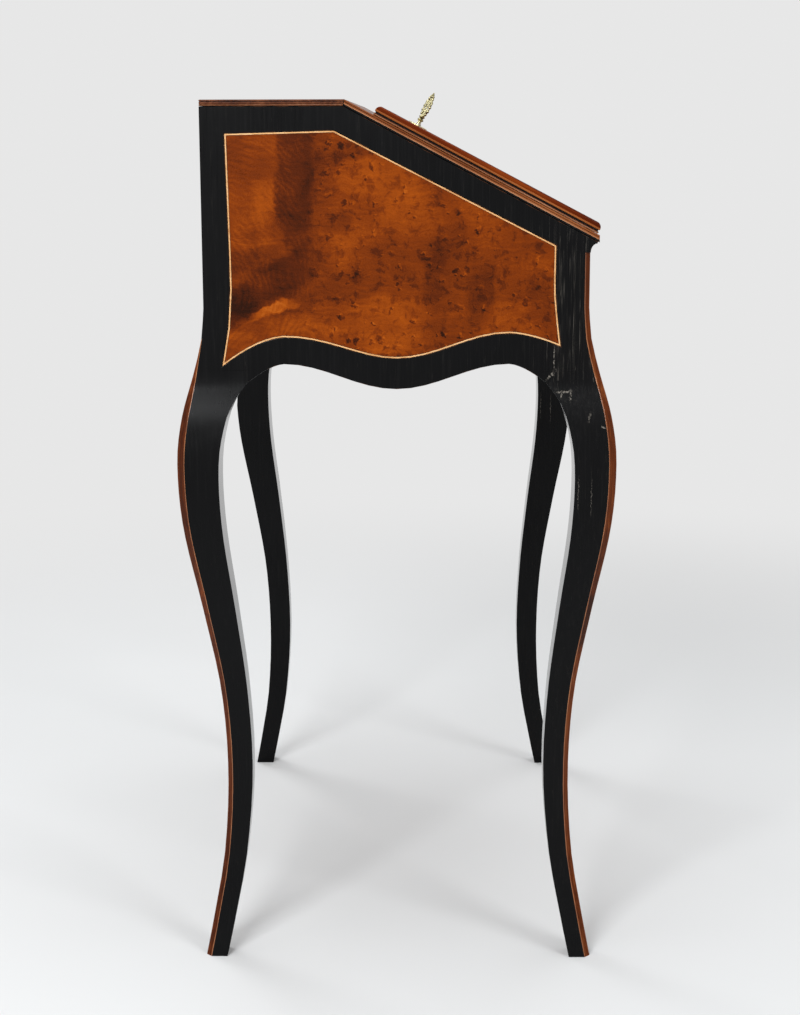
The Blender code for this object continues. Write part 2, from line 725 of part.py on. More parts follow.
def make_lock_rail(finishes, slope_frame):
    """The fixed rail above the lid, and the strike that takes the bolt."""
    edge = INNER_X
    end = SLOPE_LENGTH - EDGE_BAND * MITRE - 2 * GAP
    outline = [
        (RAIL_FACE, -RAIL_DEPTH),
        (end, -RAIL_DEPTH),
        (end, -EDGE_BAND),
        (SLOPE_LENGTH - 2 * GAP, 0.0),
        (RAIL_FACE, 0.0),
    ]
    rail = add("lock_rail", prism(outline, "X", -edge, edge), finishes["edge_wood"], slope_frame)
    plate_top = min(-BOLT_DOWN + (STRIKE_HEIGHT - BOLT_THICKNESS) / 2, -GAP)
    plate_low = plate_top - STRIKE_HEIGHT
    half = STRIKE_WIDTH / 2
    room = (half + GAP, STRIKE_PLATE + GAP)
    low = (-room[0], RAIL_FACE - BOARD, plate_low - GAP)
    high = (room[0], RAIL_FACE + room[1], plate_top + GAP)
    cut(rail, block(low, high))
    bolt_half = BOLT_WIDTH / 2 + 2 * GAP
    bolt_low = -BOLT_DOWN - BOLT_THICKNESS - 2 * GAP
    bolt_high = -BOLT_DOWN + 2 * GAP
    reach = RAIL_FACE + BOLT_THROW + BOLT_THICKNESS
    mortise = ((-bolt_half, RAIL_FACE - BOARD, bolt_low), (bolt_half, reach, bolt_high))
    cut(rail, block(*mortise))
    strike = block((-half, RAIL_FACE, plate_low), (half, RAIL_FACE + STRIKE_PLATE, plate_top))
    cut(add("strike_plate", strike, finishes["brass"], slope_frame), block(*mortise))


def lid_round(edge, inward, radius):
    """What is cut away to round an end of the lid over, seen from the side."""
    turns = [math.pi / 2 * i / LID_ROUND_STEPS for i in range(LID_ROUND_STEPS + 1)]
    outline = [
        (edge + inward * radius * (1 - math.cos(t)), LID_THICKNESS - radius * (1 - math.sin(t))) for t in turns
    ]
    outline.append((edge + inward * radius, LID_THICKNESS + BOARD))
    outline.append((edge - inward * BOARD, LID_THICKNESS + BOARD))
    outline.append((edge - inward * BOARD, LID_THICKNESS - radius))
    return outline


def make_lid(finishes, lid_frame):
    """The fall lid, in the frame of its hinge: x, up the slope, and out from it."""
    outer = rectangle(-HALF_WIDTH, LID_HINGE_GAP, HALF_WIDTH, LID_LENGTH)
    inner = inset(outer, LID_MOULDING)
    moulding = frame_prism(outer, inner, "Z", GAP, LID_THICKNESS)
    moulding = add("lid_moulding", moulding, finishes["edge_wood"], lid_frame)
    panel_outline = inset(inner, GAP)
    panel = prism(panel_outline, "Z", GAP, LID_THICKNESS)
    panel = add("lid_panel", panel, finishes["ebonised"], lid_frame)
    for edge, inward, radius in ((LID_HINGE_GAP, 1, LID_NOSE_RADIUS), (LID_LENGTH, -1, LID_HEAD_RADIUS)):
        cut(moulding, prism(lid_round(edge, inward, radius), "X", -HALF_WIDTH - BOARD, HALF_WIDTH + BOARD))
    for _, sign in SIDES:
        room = HINGE_LENGTH / 2 + GAP
        low = (sign * HINGE_X - room, -BOARD, -BOARD)
        high = (sign * HINGE_X + room, HINGE_LEAF + GAP, HINGE_PLATE + 2 * GAP)
        for piece in (moulding, panel):
            cut(piece, block(low, high))
        cut(moulding, knuckle_room(sign, 0.0, 0.0))
    field = inset(outer, LID_FIELD_BORDER)
    add_field("lid", panel, field, "Z", LID_THICKNESS, -1, finishes, lid_frame)
    sheet = inset(outer, LEATHER_BORDER)
    sheet[2] = (sheet[2][0], RAIL_FACE - LOCK_LENGTH - LEATHER_BORDER / 2)
    sheet[3] = (sheet[3][0], sheet[2][1])
    cut(panel, prism(inset(sheet, -GAP), "Z", -BOARD, 2 * GAP + LEATHER_THICKNESS))
    leather = prism(sheet, "Z", GAP, GAP + LEATHER_THICKNESS)
    add("writing_leather", leather, finishes["leather"], lid_frame)
    shaft = KEY_SHANK_RADIUS + GAP
    cut(panel, prism(circle(0.0, KEYHOLE_S, shaft), "Z", -BOARD, LID_THICKNESS + BOARD))
    through = prism(circle(0.0, KEYHOLE_S, shaft), "Z", -BOARD, LID_THICKNESS + BOARD)
    cut(bpy.data.objects["lid_inlay"], through)


def make_lock(finishes, lid_frame):
    brass = finishes["brass"]
    top = RAIL_FACE - LOCK_CLEARANCE
    half = LOCK_WIDTH / 2
    case = block((-half, top - LOCK_LENGTH, -LOCK_DEPTH), (half, top, 0.0))
    case = add("lock_case", case, brass, lid_frame)
    bolt_half = BOLT_WIDTH / 2
    bolt_low = -BOLT_DOWN - BOLT_THICKNESS
    bolt_start = top - BOLT_LENGTH
    low = (-bolt_half - GAP, bolt_start - GAP, bolt_low - GAP)
    high = (bolt_half + GAP, top + BOARD, -BOLT_DOWN + GAP)
    cut(case, block(low, high))
    room = circle(0.0, KEYHOLE_S, KEY_BIT_REACH + GAP, 2 * ROUND_SIDES)
    cut(case, prism(room, "Z", -LOCK_DEPTH + LOCK_CLEARANCE, BOARD))
    bolt_frame = add_empty("bolt_slide", (0.0, bolt_start, 0.0), parent=lid_frame)
    bolt = block((-bolt_half, 0.0, bolt_low), (bolt_half, BOLT_LENGTH, -BOLT_DOWN))
    add("lock_bolt", bolt, brass, bolt_frame)
    oval = [
        (u * ESCUTCHEON_WIDTH / 2, KEYHOLE_S + v * ESCUTCHEON_HEIGHT / 2)
        for u, v in circle(0.0, 0.0, 1.0, KEY_BOW_STEPS)
    ]
    plate_low = LID_THICKNESS + GAP
    plate = add("escutcheon", prism(oval, "Z", plate_low, plate_low + ESCUTCHEON_THICKNESS), brass, lid_frame)
    hole = circle(0.0, KEYHOLE_S, KEY_SHANK_RADIUS + GAP)
    cut(plate, prism(hole, "Z", -BOARD, LID_THICKNESS + BOARD))


def make_key(finishes, lid_frame):
    """The key, on its own axis: shank, bit inside the lock, and a pierced bow outside."""
    key_frame = add_empty("key_turn", (0.0, KEYHOLE_S, 0.0), parent=lid_frame)
    key_frame.rotation_euler = (0.0, 0.0, math.radians(KEY_TURN_AT_REST))
    tip = -LOCK_DEPTH + 2 * LOCK_CLEARANCE
    bow_low = LID_THICKNESS + KEY_SHOWN - KEY_BOW_LENGTH
    shank_top = bow_low + KEY_BOW_LENGTH * KEY_SHANK_IN_BOW
    shank = prism(circle(0.0, 0.0, KEY_SHANK_RADIUS), "Z", tip, shank_top)
    key = add("key", shank, finishes["brass"], key_frame)
    half = KEY_BOW_THICKNESS / 2
    half_width = KEY_BOW_WIDTH / 2
    middle = bow_low + KEY_BOW_LENGTH / 2
    unit = circle(0.0, 0.0, 1.0, KEY_BOW_STEPS)
    bow = [(u * half_width, middle + v * KEY_BOW_LENGTH / 2) for u, v in unit]
    join(key, prism(bow, "Y", -half, half))
    eye_length = KEY_EYE_LENGTH * KEY_BOW_LENGTH / 2
    for _, sign in SIDES:
        eye = [
            ((sign * KEY_EYE_OUT + u * KEY_EYE_WIDTH) * half_width, middle + v * eye_length)
            for u, v in circle(0.0, 0.0, 1.0)
        ]
        cut(key, prism(eye, "Y", -BOARD, BOARD))
    bit_low = (0.0, -half / 2, tip)
    bit_high = (KEY_BIT_REACH - GAP, half / 2, tip + KEY_BIT_HEIGHT)
    join(key, block(bit_low, bit_high))


def make_floors(finishes):
    wood = finishes["inner_wood"]
    edge = INNER_X - GAP
    front = -INNER_Y + GAP
    back = INNER_Y - GAP
    add("bottom_board", block((-edge, front, BOTTOM_Z), (edge, back, BOTTOM_TOP)), wood)
    floor_front = NOSE_Y + NOSING_DEPTH + GAP
    floor = block((-edge, floor_front, FLOOR_UNDERSIDE), (edge, back, WRITING_HEIGHT))
    floor = add("writing_floor", floor, wood)
    well_front = floor_front + WELL_FRONT
    mouth_half = WELL_HALF_WIDTH - WELL_LIP
    mouth_front = well_front + WELL_LIP
    mouth_back = well_front + WELL_COVER_LENGTH - WELL_LIP
    mouth_low = (-mouth_half, mouth_front, FLOOR_UNDERSIDE - BOARD)
    cut(floor, block(mouth_low, (mouth_half, mouth_back, WRITING_HEIGHT + BOARD)))
    top = FLOOR_UNDERSIDE - GAP
    rebate = top - WELL_COVER - GAP
    for side, sign in SIDES:
        profile = [
            (sign * WELL_HALF_WIDTH, BOTTOM_TOP + GAP),
            (sign * (WELL_HALF_WIDTH + WELL_WALL), BOTTOM_TOP + GAP),
            (sign * (WELL_HALF_WIDTH + WELL_WALL), top),
            (sign * (WELL_HALF_WIDTH + WELL_REBATE), top),
            (sign * (WELL_HALF_WIDTH + WELL_REBATE), rebate),
            (sign * WELL_HALF_WIDTH, rebate),
        ]
        add(f"well_wall_{side}", prism(profile, "Y", front, back), wood)
    cover_half = WELL_HALF_WIDTH + WELL_REBATE - GAP
    cover_frame = add_empty("well_cover_slide", (0.0, well_front, top))
    cover = block((-cover_half, 0.0, -WELL_COVER), (cover_half, WELL_COVER_LENGTH, 0.0))
    cover = add("well_cover", cover, wood, cover_frame)
    finger = circle(0.0, WELL_LIP + 2 * WELL_FINGER_RADIUS, WELL_FINGER_RADIUS)
    cut(cover, prism(finger, "Z", -BOARD, BOARD))


def make_lopers(finishes):
    """The two slides that carry the open lid, and the runners that they slide on."""
    top = FLOOR_UNDERSIDE - GAP
    low_z = top - LOPER_HEIGHT
    front = -INNER_Y + GAP
    back = INNER_Y - GAP
    half = LOPER_WIDTH / 2
    for side, sign in SIDES:
        centre = sign * LOPER_X
        slide = add_empty(f"loper_slide_{side}", (centre, -HALF_DEPTH, low_z))
        bar = block((-half, 0.0, 0.0), (half, LOPER_LENGTH, LOPER_HEIGHT))
        loper = add(f"loper_{side}", bar, finishes["edge_wood"], slide)
        pull = circle(0.0, LOPER_HEIGHT / 2, LOPER_PULL_RADIUS)
        cut(loper, prism(pull, "Y", -LOPER_PULL_DEPTH, LOPER_PULL_DEPTH))
        outer = half + GAP + LOPER_RUNNER_WALL
        inner = half + GAP
        base = BOTTOM_TOP + GAP
        seat = low_z - GAP
        lip = seat + LOPER_RUNNER_LIP
        profile = [
            (centre - outer, base),
            (centre + outer, base),
            (centre + outer, lip),
            (centre + inner, lip),
            (centre + inner, seat),
            (centre - inner, seat),
            (centre - inner, lip),
            (centre - outer, lip),
        ]
        add(f"loper_runner_{side}", prism(profile, "Y", front, back), finishes["inner_wood"])


def tray(low, high):
    """An open box with a thin floor."""
    shape = bmesh.new()
    outer = [shape.verts.new((x, y, z)) for z in (low[2], high[2]) for x, y in rectangle(*low[:2], *high[:2])]
    inside = rectangle(low[0] + DRAWER_WALL, low[1] + DRAWER_WALL, high[0] - DRAWER_WALL, high[1] - DRAWER_WALL)
    hollow = [shape.verts.new((x, y, z)) for z in (low[2] + DRAWER_FLOOR, high[2]) for x, y in inside]
    shape.faces.new(outer[:4])
    shape.faces.new(hollow[:4])
    for i in range(4):
        j = (i + 1) % 4
        shape.faces.new((outer[i], outer[j], outer[j + 4], outer[i + 4]))
        shape.faces.new((hollow[i], hollow[j], hollow[j + 4], hollow[i + 4]))
        shape.faces.new((outer[i + 4], outer[j + 4], hollow[j + 4], hollow[i + 4]))
    return finish_mesh("tray", shape)


def knob():
    """A turned knob on the Y axis, its foot at the origin and its face towards -Y."""
    rings = []
    for share, along in KNOB_PROFILE:
        ring = circle(0.0, 0.0, share * KNOB_RADIUS, KNOB_SIDES)
        rings.append([(u, -along * KNOB_LENGTH, v) for u, v in ring])
    return loft(rings)


def make_nest(finishes):
    """The small drawers and the open pigeonholes at the back of the interior."""
    wood = finishes["inner_wood"]
    edge = INNER_X - GAP
    back = INNER_Y - GAP
    low_z = WRITING_HEIGHT + GAP
    shelf_low = SHELF_Z
    shelf_high = SHELF_Z + DIVIDER
    add("drawer_shelf", block((-edge, NEST_Y, shelf_low), (edge, back, shelf_high)), wood)
    bay = 2 * edge / DRAWER_COUNT
    names = ("left", "middle", "right")
    for i, name in enumerate(names):
        low_x = -edge + i * bay + (DIVIDER / 2 + GAP if i else GAP)
        high_x = -edge + (i + 1) * bay - (DIVIDER / 2 + GAP if i < DRAWER_COUNT - 1 else GAP)
        middle = (low_x + high_x) / 2
        half = (high_x - low_x) / 2
        height = shelf_low - low_z - 2 * GAP
        depth = back - NEST_Y - DRAWER_BACK_ROOM
        slide = add_empty(f"drawer_slide_{name}", (middle, NEST_Y, low_z + GAP))
        add(f"drawer_{name}", tray((-half, 0.0, 0.0), (half, depth, height)), finishes["burr"], slide)
        pull = add(f"drawer_knob_{name}", knob(), finishes["brass"], slide)
        pull.location = (0.0, -GAP, height / 2)
        smooth(pull)
    partition_front = NEST_Y + PARTITION_SETBACK
    partition_low = shelf_high + GAP
    partition_high = CORE_UNDERSIDE - GAP
    waist = (partition_low + partition_high) / 2
    profile = [
        (partition_front, partition_low),
        (back, partition_low),
        (back, partition_high),
        (partition_front, partition_high),
        (partition_front + PARTITION_SETBACK, waist),
    ]
    for side, sign in SIDES:
        centre = sign * bay / 2
        low_x = centre - DIVIDER / 2
        high_x = centre + DIVIDER / 2
        lower = block((low_x, NEST_Y, low_z), (high_x, back, shelf_low - GAP))
        add(f"drawer_divider_{side}", lower, wood)
        add(f"pigeonhole_partition_{side}", prism(profile, "X", low_x, high_x), wood)


def main():
    clear_scene()
    finishes = make_materials()
    hinge_line = (0.0, NOSE_Y, WRITING_HEIGHT)
    slope_frame = add_empty("slope_frame", hinge_line, SLOPE)
    level_frame = add_empty("hinge_line", hinge_line)
    lid_frame = add_empty("lid_hinge", hinge_line, SLOPE)
    make_legs(finishes)
    make_sides(finishes)
    make_slope_strips(finishes, slope_frame)
    make_top(finishes)
    make_back(finishes)
    make_front(finishes)
    make_lock_rail(finishes, slope_frame)
    make_lid(finishes, lid_frame)
    make_hinges(finishes, level_frame, lid_frame)
    make_lock(finishes, lid_frame)
    make_key(finishes, lid_frame)
    make_floors(finishes)
    make_lopers(finishes)
    make_nest(finishes)


main()
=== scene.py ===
"""Looks of the slant-front writing desk: finishes, softened edges, fittings, light and camera.

Metres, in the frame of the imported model: +Z up, -Y the front, +X the right-hand side from the front.
"""

import json
import math

import bmesh
import bpy
from mathutils import Matrix, Quaternion, Vector
from mathutils.bvhtree import BVHTree


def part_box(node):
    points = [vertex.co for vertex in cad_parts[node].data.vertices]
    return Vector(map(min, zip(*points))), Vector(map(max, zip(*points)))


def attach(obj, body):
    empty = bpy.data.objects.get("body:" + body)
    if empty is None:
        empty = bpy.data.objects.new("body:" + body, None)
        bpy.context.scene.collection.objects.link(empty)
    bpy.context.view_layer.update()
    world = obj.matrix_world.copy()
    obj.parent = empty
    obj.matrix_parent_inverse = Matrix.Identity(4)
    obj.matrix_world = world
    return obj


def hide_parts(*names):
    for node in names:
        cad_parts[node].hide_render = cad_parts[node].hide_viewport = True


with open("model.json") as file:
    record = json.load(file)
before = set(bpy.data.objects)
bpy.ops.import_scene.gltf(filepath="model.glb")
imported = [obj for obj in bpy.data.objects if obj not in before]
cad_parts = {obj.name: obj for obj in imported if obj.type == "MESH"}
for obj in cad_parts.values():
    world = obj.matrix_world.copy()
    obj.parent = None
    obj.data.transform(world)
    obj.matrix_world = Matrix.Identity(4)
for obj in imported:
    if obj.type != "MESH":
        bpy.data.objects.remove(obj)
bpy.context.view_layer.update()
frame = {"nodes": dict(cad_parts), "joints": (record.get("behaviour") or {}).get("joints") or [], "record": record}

# Camera: the photograph's frame is 800 by 1015 pixels
IMAGE_HEIGHT = 1015
FOCAL_PIXELS = 1850
SENSOR = 36.0
CAMERA_PLACE = (-2.23604, -0.02764, 0.89521)
CAMERA_AIM = (0.97973667, 0.01243147, -0.19990379)
CAMERA_ROLL = math.radians(-0.145)

# The lid's hinge line and the slope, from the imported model
JOINTS = {joint["name"]: joint for joint in frame["joints"]}
HINGE = Vector(JOINTS["lid_hinge"]["pos_m"])
TOP_LOW, TOP_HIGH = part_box("top_board")
SLOPE = math.atan2(TOP_HIGH.z - HINGE.z, TOP_LOW.y - HINGE.y)
ACROSS = Vector((1.0, 0.0, 0.0))
UP_SLOPE = Vector((0.0, math.cos(SLOPE), math.sin(SLOPE)))
OFF_SLOPE = Vector((0.0, -math.sin(SLOPE), math.cos(SLOPE)))
MITRE = math.tan(SLOPE / 2)

BODY_OF = {node: body for body, nodes in frame["record"]["behaviour"]["bodies"].items() for node in nodes}
SIDES = (("left", -1), ("right", 1))
ENDS = (("front", -1), ("back", 1))
DRAWERS = ("left", "middle", "right")


def shade(red, green, blue):
    """A colour written in display values from 0 to 255, as the linear colour that a shader takes."""

    def linear(value):
        value /= 255
        return value / 12.92 if value <= 0.04045 else ((value + 0.055) / 1.055) ** 2.4

    return (linear(red), linear(green), linear(blue), 1.0)


class Graph:
    """A material and short ways to add nodes to it. A node's call gives the socket that it puts out."""

    def __init__(self, name):
        self.material = bpy.data.materials.new(name)
        self.material.use_nodes = True
        self.nodes = self.material.node_tree.nodes
        self.links = self.material.node_tree.links
        self.shader = self.nodes["Principled BSDF"]

    def feed(self, socket, value):
        if isinstance(value, bpy.types.NodeSocket):
            self.links.new(value, socket)
        else:
            socket.default_value = value

    def node(self, kind, inputs, output=0, **settings):
        made = self.nodes.new("ShaderNode" + kind)
        for key, value in settings.items():
            setattr(made, key, value)
        for key, value in inputs.items():
            self.feed(made.inputs[key], value)
        return made.outputs[output]

    def place(self):
        return self.node("TexCoord", {}, "Object")

    def axis(self, name):
        """One coordinate of the object's place."""
        return self.node("SeparateXYZ", {0: self.place()}, name)

    def flat(self, across, up):
        """A flat vector from two of the object's axes."""
        return self.node("CombineXYZ", {0: self.axis(across), 1: self.axis(up)})

    def mapped(self, vector, location=(0.0, 0.0, 0.0), rotation=(0.0, 0.0, 0.0), scale=(1.0, 1.0, 1.0)):
        """The vector as seen from a texture that is moved, turned and scaled so."""
        inputs = {"Vector": vector, "Location": location, "Rotation": rotation, "Scale": scale}
        return self.node("Mapping", inputs, vector_type="TEXTURE")

    def stretched(self, along, tilt=0.0, ratio=30.0):
        """The object's place drawn out along one axis, for grain; tilt turns it about X."""
        scale = [1.0, 1.0, 1.0]
        scale["XYZ".index(along)] = ratio
        return self.mapped(self.place(), rotation=(tilt, 0.0, 0.0), scale=tuple(scale))

    def noise(self, vector, scale, detail=4.0, roughness=0.5, output=0):
        inputs = {"Vector": vector, "Scale": scale, "Detail": detail, "Roughness": roughness}
        return self.node("TexNoise", inputs, output)

    def cells(self, vector, scale, output=0):
        return self.node("TexVoronoi", {"Vector": vector, "Scale": scale}, output)

    def math(self, operation, first, second=0.0, third=0.0):
        return self.node("Math", {0: first, 1: second, 2: third}, operation=operation)

    def times(self, first, second):
        return self.math("MULTIPLY", first, second)

    def add(self, base, value, times):
        """The base, and so many times the value."""
        return self.math("MULTIPLY_ADD", value, times, base)

    def less(self, first, second):
        return self.math("SUBTRACT", first, second)

    def vector(self, operation, first, second, third=(0.0, 0.0, 0.0)):
        return self.node("VectorMath", {0: first, 1: second, 2: third}, operation=operation)

    def span(self, value, low, high, to_low=0.0, to_high=1.0):
        """A value eased from one range to another, and held at its ends."""
        inputs = {"Value": value, "From Min": low, "From Max": high, "To Min": to_low, "To Max": to_high}
        return self.node("MapRange", inputs, interpolation_type="SMOOTHSTEP")

    def mix(self, share, first, second):
        return self.node("Mix", {0: share, 6: first, 7: second}, 2, data_type="RGBA")

    def ramp(self, share, stops):
        made = self.nodes.new("ShaderNodeValToRGB")
        elements = made.color_ramp.elements
        elements.remove(elements[1])
        elements[0].position, elements[0].color = stops[0]
        for position, colour in stops[1:]:
            elements.new(position).color = colour
        self.links.new(share, made.inputs[0])
        return made.outputs[0]

    def patch(self, vector, centre, sizes, angle, soft):
        """A patch with four sides: 1 inside, 0 outside, with a soft rim."""
        local = self.mapped(vector, (*centre, 0.0), (0.0, 0.0, math.radians(angle)), (*sizes, 1.0))
        local = self.node("VectorMath", {0: local}, operation="ABSOLUTE")
        across = self.node("SeparateXYZ", {0: local}, "X")
        up = self.node("SeparateXYZ", {0: local}, "Y")
        return self.span(self.math("SMOOTH_MAX", across, up, 0.5), 1.0 - soft, 1.0 + soft, 1.0, 0.0)

    def warped(self, vector, scale, reach):
        """The vector pushed about by a broad noise, so that a figure wanders."""
        drift = self.vector("SUBTRACT", self.noise(vector, scale, 3.0, output=1), (0.5, 0.5, 0.5))
        return self.vector("MULTIPLY_ADD", drift, (reach, reach, 0.0), vector)

    def finish(self, colour, roughness, height, strength, distance, shine=0.5, metallic=0.0):
        """Links the surface up; the bump has a height, a strength and a distance."""
        bump = {"Height": height, "Strength": strength, "Distance": distance}
        surface = {
            "Base Color": colour,
            "Roughness": roughness,
            "Normal": self.node("Bump", bump),
            "Specular IOR Level": shine,
            "Metallic": metallic,
        }
        for key, value in surface.items():
            self.feed(self.shader.inputs[key], value)
        return self.material


# Hairlines in the black polish: how many to the metre, how wide and how pale
HAIRLINES = ((150.0, 0.005, 0.30), (300.0, 0.012, 0.26))
HAIRLINE_LENGTH = 70.0
HAIRLINE_BREAKS = 8.0
# Hairlines are plain from these places on (y and z), and faint before them
HAIRLINES_FROM = (-0.135, 0.60)
HAIRLINES_TO = (-0.160, 0.66)
HAIRLINES_LEAST = 0.12
# Tones of the polish, from its deepest black to the bare wood
POLISH_DEEP = shade(2, 2, 3)
POLISH_THIN = shade(5, 5, 6)
POLISH_STREAK = shade(26, 25, 25)
POLISH_CHIPPED = shade(124, 118, 110)
POLISH_RUBBED = shade(92, 56, 34)
# Chipped cracks on the front legs: centre (y, z), half sizes, turn in degrees, and how pale
CHIPS = (
    ((-0.1638, 0.660), (0.0005, 0.0120), 0.0, 0.90),
    ((-0.1612, 0.645), (0.0060, 0.0009), -47.0, 0.90),
    ((-0.1744, 0.6277), (0.0068, 0.0008), -4.0, 0.90),
    ((-0.1716, 0.6240), (0.0008, 0.0034), 6.0, 0.90),
    ((-0.1810, 0.6235), (0.0007, 0.0050), 0.0, 0.70),
    ((-0.2150, 0.5914), (0.0020, 0.0007), 25.0, 0.80),
    ((-0.2005, 0.6020), (0.0010, 0.0045), 15.0, 0.35),
    ((-0.1898, 0.5230), (0.0004, 0.0140), 0.0, 0.40),
    ((-0.2035, 0.5190), (0.0004, 0.0160), 0.0, 0.40),
)


def ebonised(name, along, wear=0.0, shine=0.12, roughness=(0.25, 0.36)):
    """Black-stained wood under old polish, with brush lines, pale hairlines, chips and rubbed patches."""
    graph = Graph(name)
    grain = graph.stretched(along)
    streak = graph.noise(grain, 420.0, 3.0)
    cloud = graph.noise(graph.place(), 14.0, 4.0)
    marks = 0.0
    for fineness, width, most in HAIRLINES:
        hair = graph.noise(graph.stretched(along, 0.0, HAIRLINE_LENGTH), fineness, 2.0)
        hair = graph.math("ABSOLUTE", graph.less(hair, 0.5))
        hair = graph.span(hair, 0.0, width, most, 0.0)
        breaks = graph.noise(graph.stretched(along, 0.0, HAIRLINE_BREAKS), fineness)
        hair = graph.times(hair, graph.span(breaks, 0.40, 0.60))
        marks = graph.math("MAXIMUM", marks, hair)
    for axis, start, stop in zip("YZ", HAIRLINES_FROM, HAIRLINES_TO):
        marks = graph.times(marks, graph.span(graph.axis(axis), start, stop, HAIRLINES_LEAST, 1.0))
    broken = graph.span(graph.noise(graph.place(), 520.0, 4.0), 0.38, 0.58, 0.05, 1.0)
    frayed = graph.warped(graph.flat("Y", "Z"), 260.0, 0.004)
    for centre, sizes, angle, most in CHIPS:
        chip = graph.times(graph.patch(frayed, centre, sizes, angle, 0.5), most)
        marks = graph.math("MAXIMUM", marks, graph.times(chip, broken))
    colour = graph.mix(cloud, POLISH_DEEP, POLISH_THIN)
    colour = graph.mix(graph.span(streak, 0.50, 0.80, 0.0, 0.22), colour, POLISH_STREAK)
    colour = graph.mix(marks, colour, POLISH_CHIPPED)
    rubbed = graph.times(graph.span(graph.noise(graph.place(), 75.0, 4.0), 0.42, 0.66), wear)
    colour = graph.mix(rubbed, colour, POLISH_RUBBED)
    rough = graph.span(graph.math("ADD", streak, cloud), 0.6, 1.4, *roughness)
    height = graph.add(streak, marks, -1.2)
    return graph.finish(colour, rough, height, 0.05, 0.0003, shine)


# The figure in the sides' veneer: centre (y, z), half sizes, turn in degrees, how much lighter, how soft
SIDE_FIGURE = (
    ((0.158, 0.832), (0.040, 0.066), 0.0, 0.02, 0.30),
    ((0.132, 0.806), (0.012, 0.036), -12.0, 0.18, 0.45),
    ((0.103, 0.852), (0.020, 0.052), 3.0, -0.23, 0.24),
    ((0.069, 0.868), (0.014, 0.040), 15.0, -0.12, 0.45),
    ((0.112, 0.796), (0.026, 0.020), 32.0, -0.18, 0.40),
    ((0.124, 0.744), (0.058, 0.017), -30.0, -0.25, 0.35),
    ((0.172, 0.710), (0.026, 0.018), -20.0, -0.24, 0.40),
    ((0.092, 0.722), (0.032, 0.028), 0.0, -0.10, 0.45),
    ((0.130, 0.711), (0.026, 0.005), -25.0, 0.40, 0.45),
    ((0.186, 0.684), (0.014, 0.012), -40.0, 0.24, 0.45),
    ((0.022, 0.824), (0.056, 0.044), -14.0, 0.12, 0.40),
    ((0.044, 0.874), (0.018, 0.008), 0.0, -0.20, 0.45),
    ((0.040, 0.704), (0.066, 0.018), 0.0, 0.15, 0.45),
    ((-0.040, 0.752), (0.010, 0.028), 10.0, -0.12, 0.45),
    ((-0.086, 0.732), (0.015, 0.030), 0.0, -0.16, 0.45),
    ((-0.150, 0.722), (0.014, 0.024), 0.0, -0.16, 0.45),
    ((0.152, 0.762), (0.028, 0.012), -8.0, -0.20, 0.45),
    ((0.060, 0.800), (0.011, 0.011), 0.0, -0.18, 0.45),
    ((0.056, 0.882), (0.012, 0.010), 0.0, 0.14, 0.45),
    ((0.112, 0.697), (0.024, 0.009), -12.0, 0.16, 0.45),
    ((0.004, 0.677), (0.036, 0.011), 0.0, 0.17, 0.45),
    ((-0.124, 0.706), (0.032, 0.016), 0.0, 0.16, 0.45),
)
# The flame lines: the stretch over which they come in, the centre of their rings, and their form
FLAME_STRETCH = (0.060, 0.105)
FLAME_CENTRE = (0.215, 0.735, 0.0)
FLAME_RINGS = {"Scale": 52.0, "Distortion": 9.0, "Detail": 4.0}
LINE_TURN = (0.0, 0.0, 0.08)
LINE_STRETCH = (11.0, 1.0, 1.0)
# The eyes, in layers: how many to the metre, how few, how wide and how dark
EYE_LAYERS = ((84.0, 0.05, 0.34, 0.40), (145.0, 0.25, 0.34, 0.34), (60.0, 0.45, 0.27, 0.28))
EYE_STRETCH = (1.25, 1.0, 1.0)
# Each eye's painted highlight: how far beside the eye it sits, and how much it lightens the tone
EYE_GLINT = (0.0012, -0.0014, 0.0)
GLINT_SHARE = 0.24
BURR_RANGE = (0.36, 0.62)
BURR_SHINE = 0.08
BURR_STOPS = (
    (0.0, shade(40, 15, 4)), (0.28, shade(82, 31, 5)), (0.52, shade(117, 48, 5)),
    (0.76, shade(150, 68, 8)), (1.0, shade(182, 96, 28)),
)


